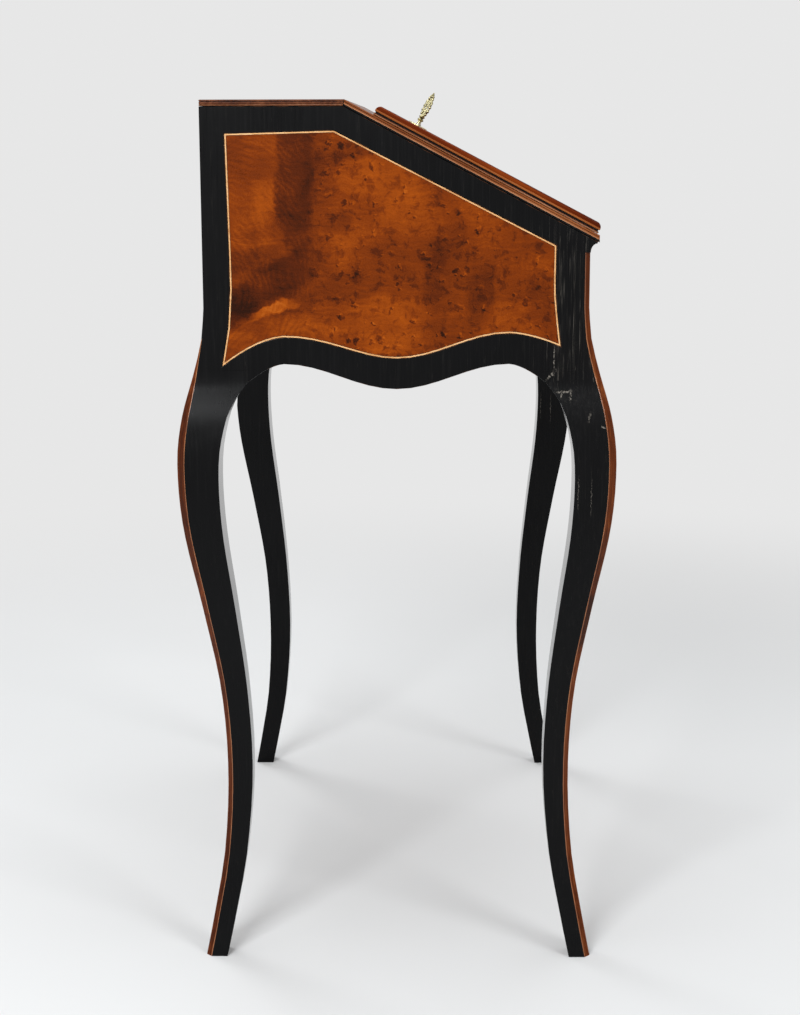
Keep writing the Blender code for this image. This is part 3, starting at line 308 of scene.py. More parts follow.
def burr(name, across, up, figure=(), lift=0.0):
    """Burr veneer: clouds of orange and brown, flame lines, mottles, and small eyes, each with a painted highlight
    beside it.
    """
    graph = Graph(name)
    flat = graph.flat(across, up)
    drifted = graph.warped(flat, 17.0, 0.020)
    crinkled = graph.warped(drifted, 70.0, 0.014)
    frayed = graph.warped(crinkled, 230.0, 0.008)
    darkest, lightest = (end + lift for end in BURR_RANGE)
    tone = graph.span(graph.noise(drifted, 15.0, 4.0), 0.25, 0.75, darkest, lightest)
    for centre, sizes, angle, strength, soft in figure:
        tone = graph.add(tone, graph.patch(frayed, centre, sizes, angle, soft), strength)
    back = graph.span(graph.axis(across), *FLAME_STRETCH) if figure else 0.0
    calm = graph.less(1.0, back)
    mottle = graph.span(graph.noise(crinkled, 85.0, 5.0, 0.68), 0.50, 0.64)
    tone = graph.add(tone, mottle, graph.add(-0.05, calm, -0.14))
    rings = {"Vector": graph.mapped(drifted, FLAME_CENTRE), **FLAME_RINGS}
    flame = graph.node("TexWave", rings, "Fac", wave_type="RINGS", rings_direction="Z")
    broken = graph.span(graph.noise(drifted, 30.0), 0.35, 0.65)
    flame = graph.times(graph.less(flame, 0.5), broken)
    tone = graph.add(tone, flame, graph.add(0.03, back, 0.07))
    lines = graph.noise(graph.mapped(crinkled, rotation=LINE_TURN, scale=LINE_STRETCH), 330.0, 3.0)
    tone = graph.add(tone, graph.less(lines, 0.5), 0.32)
    crowd = graph.span(graph.noise(drifted, 42.0, 2.0), 0.30, 0.50)
    crowd = graph.times(crowd, graph.add(0.15, calm, 0.85))
    curled = graph.mapped(graph.warped(drifted, 210.0, 0.013), scale=EYE_STRETCH)
    beside = graph.vector("ADD", curled, EYE_GLINT)
    for scale, least, most, depth in EYE_LAYERS:
        chance = graph.node("SeparateColor", {0: graph.cells(curled, scale, 1)})
        radius = graph.span(chance, least, 1.0, 0.02, most)
        eye = graph.span(graph.cells(curled, scale), graph.times(radius, 0.45), radius, 1.0, 0.0)
        # A painted highlight on one side of each eye
        glint = graph.span(graph.cells(beside, scale), graph.times(radius, 0.3), radius, 1.0, 0.0)
        tone = graph.add(tone, graph.times(glint, crowd), GLINT_SHARE)
        tone = graph.add(tone, graph.times(eye, crowd), -depth)
    speckle = graph.noise(crinkled, 900.0, 3.0)
    tone = graph.add(tone, graph.less(speckle, 0.5), 0.22)
    colour = graph.ramp(tone, BURR_STOPS)
    roughness = graph.span(speckle, 0.3, 0.7, 0.24, 0.34)
    return graph.finish(colour, roughness, tone, 0.05, 0.0003, BURR_SHINE)


STAIN = shade(16, 10, 8)
GRAIN_STOPS = (0.33, 0.5, 0.68)


def straight_grain(name, along, tones, tilt=0.0, fineness=300.0, roughness=0.32, shine=0.15, stains=()):
    """Plain wood with its grain along one axis, from a dark, a middle and a light tone.

    stains are stretches where black is left on it: middle and half in height, and share.
    """
    graph = Graph(name)
    line = graph.noise(graph.stretched(along, tilt), fineness, 4.0, 0.6)
    broad = graph.noise(graph.stretched(along, tilt, 8.0), fineness / 7, 3.0)
    pore = graph.noise(graph.stretched(along, tilt, 60.0), fineness * 5, 2.0)
    tone = graph.math("ADD", graph.times(line, 0.55), graph.times(broad, 0.45))
    colour = graph.ramp(tone, list(zip(GRAIN_STOPS, [shade(*tint) for tint in tones])))
    pores = graph.span(pore, 0.56, 0.70)
    colour = graph.mix(graph.times(pores, 0.35), colour, shade(*tones[0]))
    for middle, half, share in stains:
        off = graph.math("ABSOLUTE", graph.less(graph.axis("Z"), middle))
        colour = graph.mix(graph.span(off, half * 0.7, half, share, 0.0), colour, STAIN)
    rough = graph.span(line, 0.3, 0.7, roughness - 0.05, roughness + 0.09)
    height = graph.add(tone, pores, -0.5)
    return graph.finish(colour, rough, height, 0.12, 0.0004, shine)


def metal(name, bright, dull, roughness):
    """Old polished metal: duller in clouds, with fine rubbing marks."""
    graph = Graph(name)
    share = graph.span(graph.noise(graph.place(), 190.0, 4.0, 0.6), 0.38, 0.84)
    rub = graph.noise(graph.stretched("X", 0.4, 14.0), 2600.0, 2.0)
    colour = graph.mix(share, shade(*bright), shade(*dull))
    rubbed = graph.span(rub, 0.3, 0.7, roughness - 0.05, roughness + 0.07)
    rough = graph.add(rubbed, share, 0.14)
    return graph.finish(colour, rough, rub, 0.05, 0.0002, metallic=1.0)


# The gilt lines on the leather: how far from its edge, and half their width
GILT_LINES = ((0.010, 0.0012), (0.0135, 0.0005))
GILT = shade(196, 158, 84)
HIDE_DARK = shade(28, 52, 36)
HIDE_LIGHT = shade(52, 80, 54)


def leather(name):
    """Green hide with a pebbled grain and a gilt double line tooled near its edge."""
    graph = Graph(name)
    low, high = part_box("writing_leather")
    pebble = graph.cells(graph.place(), 900.0)
    cloud = graph.noise(graph.place(), 26.0, 5.0, 0.6)
    colour = graph.mix(graph.span(cloud, 0.3, 0.7), HIDE_DARK, HIDE_LIGHT)
    along = 1 / math.cos(SLOPE)
    from_side = graph.less(high.x, graph.math("ABSOLUTE", graph.axis("X")))
    from_low = graph.times(graph.less(graph.axis("Y"), low.y), along)
    from_high = graph.times(graph.less(high.y, graph.axis("Y")), along)
    edge = graph.math("MINIMUM", from_side, graph.math("MINIMUM", from_low, from_high))
    gilt = 0.0
    for distance, width in GILT_LINES:
        off = graph.math("ABSOLUTE", graph.less(edge, distance))
        gilt = graph.math("MAXIMUM", gilt, graph.span(off, width * 0.6, width, 1.0, 0.0))
    gilt = graph.times(gilt, graph.span(graph.noise(graph.place(), 160.0, 3.0), 0.30, 0.52))
    colour = graph.mix(gilt, colour, GILT)
    rough = graph.span(pebble, 0.0, 0.8, 0.62, 0.44)
    height = graph.add(graph.times(pebble, -1.0), gilt, -0.8)
    return graph.finish(colour, rough, height, 0.30, 0.0004)


BACKDROP = 0.80
WHITE = (1.0, 1.0, 1.0, 1.0)
FLOOR_TONES = ((226, 226, 226), (229, 229, 229))
FLOOR_FADES = (0.7, 2.3)


def seen_directly(tree):
    """1 for rays from the camera or by way of a mirror or glass, 0 for those that only carry light."""
    path = tree.nodes.new("ShaderNodeLightPath")
    seen = path.outputs["Is Camera Ray"]
    for ray in ("Is Glossy Ray", "Is Transmission Ray"):
        either = tree.nodes.new("ShaderNodeMath")
        either.operation = "MAXIMUM"
        tree.links.new(seen, either.inputs[0])
        tree.links.new(path.outputs[ray], either.inputs[1])
        seen = either.outputs[0]
    return seen


def pale_floor(name):
    """A matt floor, faintly uneven, that fades into the pale backdrop far from the desk."""
    graph = Graph(name)
    cloud = graph.noise(graph.place(), 3.0, 3.0)
    plain, lighter = (shade(*tone) for tone in FLOOR_TONES)
    graph.finish(graph.mix(cloud, plain, lighter), 0.9, cloud, 0.02, 0.001)
    reach = graph.node("VectorMath", {0: graph.place()}, "Value", operation="LENGTH")
    fade = graph.span(reach, *FLOOR_FADES)
    far = graph.times(fade, seen_directly(graph.material.node_tree))
    glow = graph.node("Emission", {"Color": WHITE, "Strength": BACKDROP})
    both = graph.node("MixShader", {0: far, 1: graph.shader.outputs[0], 2: glow})
    graph.links.new(both, graph.nodes["Material Output"].inputs["Surface"])
    return graph.material


# Dark, middle and light tones of the plain woods
EDGE_TONES = ((48, 20, 9), (84, 42, 21), (118, 68, 40))
# Lighter wood for rounded edges and reed lines: a painted highlight along them, and partly rubbing
EDGE_RUBBED_HIGHLIGHT_TONES = ((110, 64, 38), (148, 98, 66), (178, 132, 100))
# Lighter wood for the top's lower reed: a painted highlight, and partly wear
EDGE_WORN_HIGHLIGHT_TONES = ((84, 44, 24), (114, 68, 42), (142, 96, 68))
# Lighter wood on the crowns of the slope strips' reeds: a painted highlight
EDGE_MIDDLE_TONES = ((92, 44, 16), (128, 68, 30), (152, 92, 50))
LID_EDGE_TONES = ((54, 14, 1), (90, 30, 3), (126, 53, 9))
# Lighter wood on the lower rounding of the lid's fascia: a painted highlight, and partly rubbing
LID_EDGE_RUBBED_HIGHLIGHT_TONES = ((104, 52, 20), (142, 78, 36), (162, 98, 52))
CHAMFER_TONES = ((44, 16, 4), (84, 35, 9), (124, 60, 22))
# The front legs' chamfers are given lighter tones than the back legs'
CHAMFER_FRONT_TONES = ((62, 24, 5), (98, 44, 13), (138, 74, 30))
# Lighter wood for the lines along the legs' chamfers: a painted highlight on the arris, and partly rubbing
CHAMFER_RUBBED_HIGHLIGHT_TONES = ((108, 58, 30), (146, 88, 50), (176, 118, 76))
# Where black is left on the front legs' chamfers: middle, half height and share
CHAMFER_STAINS = ((0.380, 0.034, 0.62), (0.440, 0.050, 0.22))
BOX_TONES = ((180, 122, 72), (216, 164, 110), (232, 190, 142))
INNER_TONES = ((96, 52, 26), (136, 80, 42), (164, 106, 62))
LINING_TONES = ((150, 112, 72), (182, 144, 98), (206, 172, 126))

EBONY_Z = ebonised("ebonised_upright", "Z")
EBONY_X = ebonised("ebonised_across", "X")
EBONY_WORN = ebonised("ebonised_rubbed", "Z", wear=0.55)
EBONY_INSIDE = ebonised("ebony_leg_inside", "Z", shine=0.50, roughness=(0.08, 0.14))
BURR_SIDE = burr("burr_side", "Y", "Z", SIDE_FIGURE)
BURR_NOSE = burr("burr_nose", "X", "Z", lift=-0.10)
BURR_TOP = burr("burr_top", "X", "Y")
BURR_FRONT = burr("burr_front", "X", "Z")
EDGE_X = straight_grain("edge_wood_across", "X", EDGE_TONES)
EDGE_Y = straight_grain("edge_wood_deep", "Y", EDGE_TONES)
EDGE_SLOPE = straight_grain("edge_wood_slope", "Y", EDGE_TONES, SLOPE)
EDGE_RUBBED_HIGHLIGHT = straight_grain("edge_wood_rubbed_highlight", "Y", EDGE_RUBBED_HIGHLIGHT_TONES, SLOPE)
EDGE_MIDDLE = straight_grain("edge_wood_reed", "Y", EDGE_MIDDLE_TONES, SLOPE)
LID_EDGE = straight_grain("lid_edge_wood", "Y", LID_EDGE_TONES, SLOPE, 240.0, 0.30, 0.06)
LID_EDGE_RUBBED_HIGHLIGHT = straight_grain("lid_edge_rubbed_highlight", "Y", LID_EDGE_RUBBED_HIGHLIGHT_TONES, SLOPE, 240.0, 0.30, 0.10)
CHAMFER = {
    "back": straight_grain("leg_chamfer_wood", "Z", CHAMFER_TONES, roughness=0.26, shine=0.06),
    "front": straight_grain(
        "leg_chamfer_front_lighter", "Z", CHAMFER_FRONT_TONES, roughness=0.26, shine=0.06, stains=CHAMFER_STAINS
    ),
}
CHAMFER_RUBBED_HIGHLIGHT = straight_grain("leg_chamfer_rubbed_highlight", "Z", CHAMFER_RUBBED_HIGHLIGHT_TONES, roughness=0.19, shine=0.50)
EDGE_WORN_HIGHLIGHT = straight_grain("edge_wood_worn_highlight", "X", EDGE_WORN_HIGHLIGHT_TONES)
BOXWOOD = straight_grain("boxwood_line", "Y", BOX_TONES, 0.3, 420.0, 0.38)
INNER_X = straight_grain("inner_wood_across", "X", INNER_TONES, 0.0, 190.0, 0.42)
INNER_Y = straight_grain("inner_wood_deep", "Y", INNER_TONES, 0.0, 190.0, 0.42)
LINING = straight_grain("drawer_lining_wood", "Y", LINING_TONES, 0.0, 210.0, 0.5)
BRASS = metal("old_brass", (212, 198, 142), (126, 110, 60), 0.24)
# The key's brass is given darker tones than the other brass: painted shade and dark reflections on the key
KEY_BRASS = metal("key_brass", (168, 160, 122), (62, 54, 30), 0.26)
STEEL = metal("worn_steel", (196, 192, 184), (132, 126, 118), 0.26)
LEATHER = leather("green_leather")


def slope_point(x, up, off):
    """A point given in the lid's frame: across, up the slope from the hinge line, and off the slope."""
    return HINGE + ACROSS * x + UP_SLOPE * up + OFF_SLOPE * off


def slope_places(node):
    """A node's vertices in the lid's frame."""
    places = [vert.co - HINGE for vert in frame["nodes"][node].data.vertices]
    return [(place.x, place.dot(UP_SLOPE), place.dot(OFF_SLOPE)) for place in places]


def slope_box(node):
    """A node's lowest and highest corners in the lid's frame."""
    sides = list(zip(*slope_places(node)))
    return Vector(map(min, sides)), Vector(map(max, sides))


def link(name, data):
    """A new object in the scene."""
    thing = bpy.data.objects.new(name, data)
    bpy.context.scene.collection.objects.link(thing)
    return thing


def add_piece(name, mesh, finishes, body, replaced=()):
    """Adds a mesh as a piece that rides on a body, and hides the nodes that it stands for."""
    mesh.name = name
    for finish in finishes:
        mesh.materials.append(finish)
    piece = link(name, mesh)
    piece.modifiers.new("even_normals", "WEIGHTED_NORMAL").keep_sharp = True
    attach(piece, body)
    if replaced:
        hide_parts(*replaced)


def stand_in(node, ending, mesh, finishes):
    """Adds a mesh that stands for one node, on the node's body."""
    add_piece(f"{node}_{ending}", mesh, finishes, BODY_OF[node], (node,))


# Angles over which faces meet sharply, on plain, beaded, turned and moulded pieces
SHARP_PLAIN = 0.55
SHARP_BEADED = 0.8
SHARP_TURNED = 0.9
SHARP_MOULDED = 1.0


def finish_shape(shape, sharp=SHARP_PLAIN):
    """A mesh from a bmesh, with smooth faces that meet sharply where they turn by more than an angle."""
    bmesh.ops.recalc_face_normals(shape, faces=shape.faces)
    mesh = bpy.data.meshes.new("piece")
    shape.to_mesh(mesh)
    shape.free()
    mesh.shade_smooth()
    mesh.set_sharp_from_angle(angle=sharp)
    return mesh


def rectangle(low, high):
    """The four corners between two opposite ones, in turn."""
    return (low, (high[0], low[1]), high, (low[0], high[1]))


def full_turn(steps):
    """The angles of a circle's points."""
    return [2 * math.pi * i / steps for i in range(steps)]


def skin(shape, rings, ends=(0, -1)):
    """Faces from ring to ring, which it gives, and on the end rings; with no ends it runs right round."""
    loops = [[shape.verts.new(place) for place in ring] for ring in rings]
    ahead = loops[1:] if ends else loops[1:] + loops[:1]
    faces = []
    for first, second in zip(loops, ahead):
        for i, vert in enumerate(first):
            j = (i + 1) % len(first)
            faces.append(shape.faces.new((vert, first[j], second[j], second[i])))
    for end in ends:
        shape.faces.new(loops[end])
    return faces


WELD = 1e-6
FLAT_ANGLE = math.radians(0.4)
EDGE_ANGLE = math.radians(28.0)
JOINT_GAP = 0.0008
BLACK_NODES = ("side_panel_left", "side_panel_right", "back_panel", "front_panel", "cove_rail") + tuple(
    f"leg_{end}_{side}" for end, _ in ENDS for side, _ in SIDES
)


def surface_tree(node):
    """A node's surface, for finding the nearest place on it."""
    mesh = frame["nodes"][node].data
    places = [vert.co for vert in mesh.vertices]
    return BVHTree.FromPolygons(places, [face.vertices for face in mesh.polygons])


BLACK_TREES = {node: surface_tree(node) for node in BLACK_NODES}


def place_across(node, place):
    """The nearest place on another black piece that lies against this one, where the real wood runs on."""
    for name, tree in BLACK_TREES.items():
        across = tree.find_nearest(place, JOINT_GAP)[0]
        if across and name != node:
            return across
    return None


def close_joints(shape, node):
    """Draws a black piece out to the middle of the gaps round it, so that the polish runs on unbroken."""
    for vert in shape.verts:
        across = place_across(node, vert.co)
        if across:
            vert.co = (vert.co + across) / 2


def clean_copy(node):
    """A node's mesh with its seams welded and its flat faces whole again."""
    shape = bmesh.new()
    shape.from_mesh(frame["nodes"][node].data)
    bmesh.ops.remove_doubles(shape, verts=shape.verts, dist=WELD)
    bmesh.ops.dissolve_limit(
        shape, angle_limit=FLAT_ANGLE, verts=shape.verts, edges=shape.edges, delimit={"NORMAL"}
    )
    for face in shape.faces:
        face.material_index = 0
    shape.normal_update()
    if node in BLACK_NODES:
        close_joints(shape, node)
    return shape


def corner_edges(shape, node):
    """The edges that turn, apart from those where one black piece runs on into another."""
    turning = [edge for edge in shape.edges if edge.is_manifold and edge.calc_face_angle() > EDGE_ANGLE]
    if node not in BLACK_NODES:
        return turning
    return [edge for edge in turning if not place_across(node, (edge.verts[0].co + edge.verts[1].co) / 2)]


def soften(shape, edges, width, index):
    """Rounds edges over, and gives the rounding its own material slot."""
    form = {"offset_type": "OFFSET", "affect": "EDGES", "segments": 2, "profile": 0.5}
    bmesh.ops.bevel(shape, geom=edges, offset=width, material=index, clamp_overlap=True, **form)


# How far edges are rounded over, on boards, rails, drawers, locks and thin fittings
BOARD_EDGE = 0.0006
RAIL_EDGE = 0.0011
DRAWER_EDGE = 0.0004
LOCK_EDGE = 0.0003
FINE_EDGE = 0.0002


def dress(node, finishes, width=BOARD_EDGE, pick=None):
    """Stands a finer piece in for a node: the same shape with softened edges.

    finishes[0] goes on the faces and finishes[-1] on the rounded edges; pick chooses another for a face.
    """
    shape = clean_copy(node)
    for face in shape.faces:
        if pick:
            face.material_index = pick(face)
    soften(shape, corner_edges(shape, node), width, len(finishes) - 1)
    stand_in(node, "dressed", finish_shape(shape), finishes)


# The slots of a leg's finishes: its faces, the bare chamfer, the lighter lines along the chamfer (rubbing, and a
# painted highlight) and the inner faces
LEG_FACE, LEG_BARE, LEG_RUBBED_HIGHLIGHT, LEG_INSIDE = range(4)
# How far a face turns outwards to be a chamfer, and inwards to be an inner face
CHAMFER_SHARE = 0.35
INSIDE_SHARE = 0.8
CHAMFER_EDGE = 0.0005
CHAMFER_TOP_AT_BACK = 0.688
LEG_EDGE = 0.0009
# Where a leg's side ear levels out with the apron beside it, in height, and how far in its tip is at least
EAR_LEVELS_FROM = 0.604
EAR_LEVELS_TO = 0.644
EAR_TOP = 0.6505
EAR_LEAST = 0.010


def level_ear(shape, side, x_sign, y_sign):
    """Lets the leg's bulge die away towards the edge of its ear, so that the ear meets the apron flush."""
    low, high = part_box(f"side_panel_{side}")
    face_x = max(x_sign * low.x, x_sign * high.x)
    end_y = max(y_sign * low.y, y_sign * high.y)
    levels = {}
    for vert in shape.verts:
        if EAR_LEVELS_FROM < vert.co.z < EAR_TOP and vert.co.x * x_sign > face_x:
            levels.setdefault(round(vert.co.z, 4), []).append(vert)
    for height, verts in levels.items():
        tip = min(verts, key=lambda vert: vert.co.y * y_sign)
        if end_y - tip.co.y * y_sign > EAR_LEAST:
            share = min((height - EAR_LEVELS_FROM) / (EAR_LEVELS_TO - EAR_LEVELS_FROM), 1.0)
            share = share * share * (3.0 - 2.0 * share)
            tip.co.x += (face_x * x_sign - tip.co.x) * share
    shape.normal_update()


def dress_leg(side, x_sign, end, y_sign):
    """A leg with rounded black edges and the bare wood of its outer chamfer between two lighter lines, rubbed wood
    with a painted highlight.
    """
    node = f"leg_{end}_{side}"
    shape = clean_copy(node)
    level_ear(shape, side, x_sign, y_sign)
    for face in shape.faces:
        outward = min(face.normal.x * x_sign, face.normal.y * y_sign)
        low_enough = end == "front" or face.calc_center_median().z < CHAMFER_TOP_AT_BACK
        face.material_index = LEG_BARE if outward > CHAMFER_SHARE and low_enough else LEG_FACE
        if face.normal.y * y_sign < -INSIDE_SHARE:
            face.material_index = LEG_INSIDE
    edges = corner_edges(shape, node)
    bare = [edge for edge in edges if any(face.material_index == LEG_BARE for face in edge.link_faces)]
    # The chamfer's rounded edges take the lighter wood, a painted highlight and partly rubbing
    soften(shape, bare, CHAMFER_EDGE, LEG_RUBBED_HIGHLIGHT)
    edges = corner_edges(shape, node)
    blacks = (LEG_FACE, LEG_INSIDE)
    black = [edge for edge in edges if all(face.material_index in blacks for face in edge.link_faces)]
    soften(shape, black, LEG_EDGE, LEG_FACE)
    stand_in(node, "dressed", finish_shape(shape), (EBONY_Z, CHAMFER[end], CHAMFER_RUBBED_HIGHLIGHT, EBONY_INSIDE))


def dress_case():
    """The case's boards, veneers, runners, partitions and hinges."""
    for side, x_sign in SIDES:
        for end, y_sign in ENDS:
            dress_leg(side, x_sign, end, y_sign)
        dress(f"side_panel_{side}", (EBONY_Z, EBONY_WORN))
        dress(f"side_inlay_{side}", (BURR_SIDE,), FINE_EDGE)
        dress(f"side_stringing_{side}", (BOXWOOD,), FINE_EDGE)
        for node in ("well_wall", "loper_runner", "drawer_divider", "pigeonhole_partition"):
            dress(f"{node}_{side}", (INNER_Y,))
        dress(f"loper_{side}", (EDGE_Y,))
        for node in ("hinge_leaf_case", "hinge_leaf_lid", "hinge_pin"):
            dress(f"{node}_{side}", (BRASS,), FINE_EDGE)
    dress("top_inlay", (BURR_TOP,), FINE_EDGE)
    dress("front_inlay", (BURR_FRONT,), FINE_EDGE)
    for node in ("back_panel", "front_panel", "cove_rail"):
        dress(node, (EBONY_X, EBONY_WORN))
    # The rounded edges of these rails take the lighter wood, a painted highlight and partly rubbing
    for node in ("nosing", "lock_rail"):
        dress(node, (EDGE_X, EDGE_RUBBED_HIGHLIGHT), RAIL_EDGE)
    for node in ("top_stringing", "front_stringing"):
        dress(node, (BOXWOOD,), FINE_EDGE)
    for node in ("top_core", "bottom_board", "writing_floor", "well_cover", "drawer_shelf"):
        dress(node, (INNER_X,))
    dress("strike_plate", (BRASS,), FINE_EDGE)


# The reeds on the top and the slope: how far in, how far down, and the top's finish to the next point
REEDS = (
    (0.0012, 0.0000, 0), (0.0004, 0.0003, 0), (0.0000, 0.0010, 0), (0.0003, 0.0017, 2),
    (0.0008, 0.0019, 2), (0.0008, 0.0021, 2), (0.0003, 0.0023, 0), (0.0002, 0.0034, 0),
    (0.0003, 0.0044, 2), (0.0008, 0.0046, 2), (0.0003, 0.0048, 1), (0.0000, 0.0055, 1),
    (0.0004, 0.0062, 0), (0.0010, 0.0065, 0),
)


# The finish of each face of a slope strip, from its upper edge down; finishes 1 and 3 are lighter lines on the
# reeds, painted highlights and partly rubbing
STRIP_FINISHES = (3, 3, 3, 0, 0, 0, 3, 1, 2, 2, 2, 2, 2, 2, 2)


def make_slope_strips():
    """The reeded strips on the slope of the sides."""
    for side, sign in SIDES:
        node = f"slope_strip_{side}"
        low, high = slope_box(node)
        outer = sign * max(abs(low.x), abs(high.x))
        inner = sign * min(abs(low.x), abs(high.x))
        shape = bmesh.new()
        profile = [(outer - sign * inset, -depth) for inset, depth, _ in REEDS]
        profile += [(inner, low.z), (inner, 0.0)]
        start = [slope_point(x, off * math.tan(SLOPE), off) for x, off in profile]
        stop = [slope_point(x, high.y + off * MITRE, off) for x, off in profile]
        for face, index in zip(skin(shape, (start, stop)), STRIP_FINISHES):
            face.material_index = index
        finishes = (EDGE_SLOPE, EDGE_RUBBED_HIGHLIGHT, EBONY_X, EDGE_MIDDLE)
        stand_in(node, "reeded", finish_shape(shape, SHARP_MOULDED), finishes)


FIELD_GAP = 0.0003


def make_top_board():
    """The top board with its reeded edge, and the sunk bed of its veneer."""
    line_low, line_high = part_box("top_stringing")
    bed = TOP_HIGH.z - (line_high.z - line_low.z) - FIELD_GAP
    gap = Vector((FIELD_GAP, FIELD_GAP, 0.0))
    low = line_low - gap
    high = line_high + gap
    field = rectangle((low.x, low.y), (high.x, high.y))
    rings = [[(x, y, z) for x, y in field] for z in (bed, TOP_HIGH.z)]
    within = len(rings) * len(field)
    for inset, depth, _ in REEDS:
        front_left = (TOP_LOW.x + inset, TOP_LOW.y + depth * MITRE)
        back_right = (TOP_HIGH.x - inset, TOP_HIGH.y - inset)
        rings.append([(x, y, TOP_HIGH.z - depth) for x, y in rectangle(front_left, back_right)])
    shape = bmesh.new()
    for i, face in enumerate(skin(shape, rings)[within:]):
        face.material_index = REEDS[i // len(field)][2]
    # Finish 1, the lighter worn wood on the top's lower reed, is a painted highlight and partly wear
    stand_in("top_board", "reeded", finish_shape(shape, SHARP_MOULDED), (EDGE_X, EDGE_WORN_HIGHLIGHT, EBONY_X))


# The lid's moulded edge: how far in, how far off the slope, and the finish up to the next point
LID_PROFILE = (
    (0.0007, 0.0003, 5), (0.0001, 0.0008, 5), (0.0000, 0.0015, 2), (0.0003, 0.0024, 3),
    (0.0014, 0.0028, 3), (0.0014, 0.0038, 3), (0.0004, 0.0042, 4), (0.0000, 0.0050, 4),
    (0.0000, 0.0062, 0), (0.0000, 0.0074, 0), (0.0000, 0.0085, 0), (0.0001, 0.0094, 0),
    (0.0004, 0.0102, 0), (0.0009, 0.0107, 0), (0.0018, 0.0110, 0), (0.0120, 0.0110, 0),
    (0.0120, 0.0003, 0),
)
LID_NOSE_RADIUS = 0.0065
LID_HEAD_RADIUS = 0.0060
HINGE_ROOM = 0.0003
CUT_BEYOND = 0.02


def rounding(off, thickness, radius):
    """How far a rounded end draws in at a height off the slope."""
    rise = max(0.0, off - (thickness - radius))
    return radius - math.sqrt(max(0.0, radius**2 - rise**2))


def carve(mesh, cutters):
    """A mesh with others cut away from it."""
    target = link("carved", mesh)
    helpers = [link("cutter", cutter) for cutter in cutters]
    for helper in helpers:
        step = target.modifiers.new("cut", "BOOLEAN")
        step.solver = "EXACT"
        step.object = helper
    graph = bpy.context.evaluated_depsgraph_get()
    carved = bpy.data.meshes.new_from_object(target.evaluated_get(graph))
    for old in (target, *helpers):
        bpy.data.objects.remove(old, do_unlink=True)
    return carved


def plate_top(node):
    """The top of a hinge leaf's plate, at the edge away from the pin."""
    _, high = slope_box(node)
    return max(off for _, up, off in slope_places(node) if up > high.y - WELD)


def hinge_pocket(node):
    """What a hinge's leaf and knuckles take out of the lid's edge."""
    low, high = slope_box(node)
    knuckle = -low.z + HINGE_ROOM
    leaf_top = plate_top(node) + HINGE_ROOM
    leaf_end = high.y + HINGE_ROOM
    outline = (
        (-CUT_BEYOND, -CUT_BEYOND), (leaf_end, -CUT_BEYOND), (leaf_end, leaf_top),
        (knuckle, leaf_top), (knuckle, knuckle), (-CUT_BEYOND, knuckle),
    )
    shape = bmesh.new()
    near = [slope_point(low.x - HINGE_ROOM, up, off) for up, off in outline]
    far = [slope_point(high.x + HINGE_ROOM, up, off) for up, off in outline]
    skin(shape, (near, far))
    return finish_shape(shape)


def make_lid_moulding():
    """The moulded frame round the lid: a bead, a dark groove and a rounded fascia."""
    low, high = slope_box("lid_moulding")
    shape = bmesh.new()
    rings = []
    for inset, off, _ in LID_PROFILE:
        nose = low.y + max(inset, rounding(off, high.z, LID_NOSE_RADIUS))
        head = high.y - max(inset, rounding(off, high.z, LID_HEAD_RADIUS))
        corners = rectangle((low.x + inset, nose), (high.x - inset, head))
        rings.append([slope_point(x, up, off) for x, up in corners])
    for i, face in enumerate(skin(shape, rings, ())):
        along, side = divmod(i, len(corners))
        at_ends = 1 - side % 2
        face.material_index = max(LID_PROFILE[along][2], at_ends)
    pockets = [hinge_pocket(f"hinge_leaf_lid_{side}") for side, _ in SIDES]
    mesh = carve(finish_shape(shape, SHARP_MOULDED), pockets)
    # The lighter finishes on the fascia's lower rounding and at the bead's foot are painted highlights, partly
    # rubbing
    finishes = (LID_EDGE, BURR_NOSE, EDGE_SLOPE, EBONY_X, LID_EDGE_RUBBED_HIGHLIGHT, EDGE_RUBBED_HIGHLIGHT)
    stand_in("lid_moulding", "moulded", mesh, finishes)


def dress_lid():
    """The lid's frame, panel, veneer and leather, and its lock."""
    make_lid_moulding()
    dress("lid_panel", (EBONY_X, EBONY_WORN))
    dress("lid_inlay", (BURR_TOP,), FINE_EDGE)
    dress("lid_stringing", (BOXWOOD,), FINE_EDGE)
    dress("writing_leather", (LEATHER,), FINE_EDGE)
    for node in ("lock_case", "lock_bolt"):
        dress(node, (BRASS,), LOCK_EDGE)


def lathe(shape, profile, origin, axis, sides=20):
    """Turns (radius, along) points about an axis, with closed ends."""
    side = axis.orthogonal().normalized()
    other = axis.cross(side)
    spokes = [side * math.cos(turn) + other * math.sin(turn) for turn in full_turn(sides)]
    feet = [(origin + axis * along, radius) for radius, along in profile]
    skin(shape, [[foot + spoke * radius for spoke in spokes] for foot, radius in feet])


KEY_TURN = math.radians(22.0)
# Turned parts: radius, and place along the key
KEY_SHANK = ((0.0024, -0.0100), (0.0024, 0.0120), (0.0035, 0.0124), (0.0035, 0.0138), (0.0024, 0.0143))
KEY_NECK = (
    (0.0023, 0.0140), (0.0023, 0.0172), (0.0034, 0.0178), (0.0038, 0.0190), (0.0030, 0.0200),
    (0.0022, 0.0208), (0.0030, 0.0216), (0.0038, 0.0226), (0.0028, 0.0238), (0.0018, 0.0250),
)
# The bit's outline: out to the side, and along the key
KEY_BIT = (
    (0.0, -0.0100), (0.0072, -0.0100), (0.0072, -0.0080), (0.0052, -0.0080),
    (0.0052, -0.0066), (0.0072, -0.0066), (0.0072, -0.0040), (0.0, -0.0040),
)
KEY_BIT_HALF = 0.00075
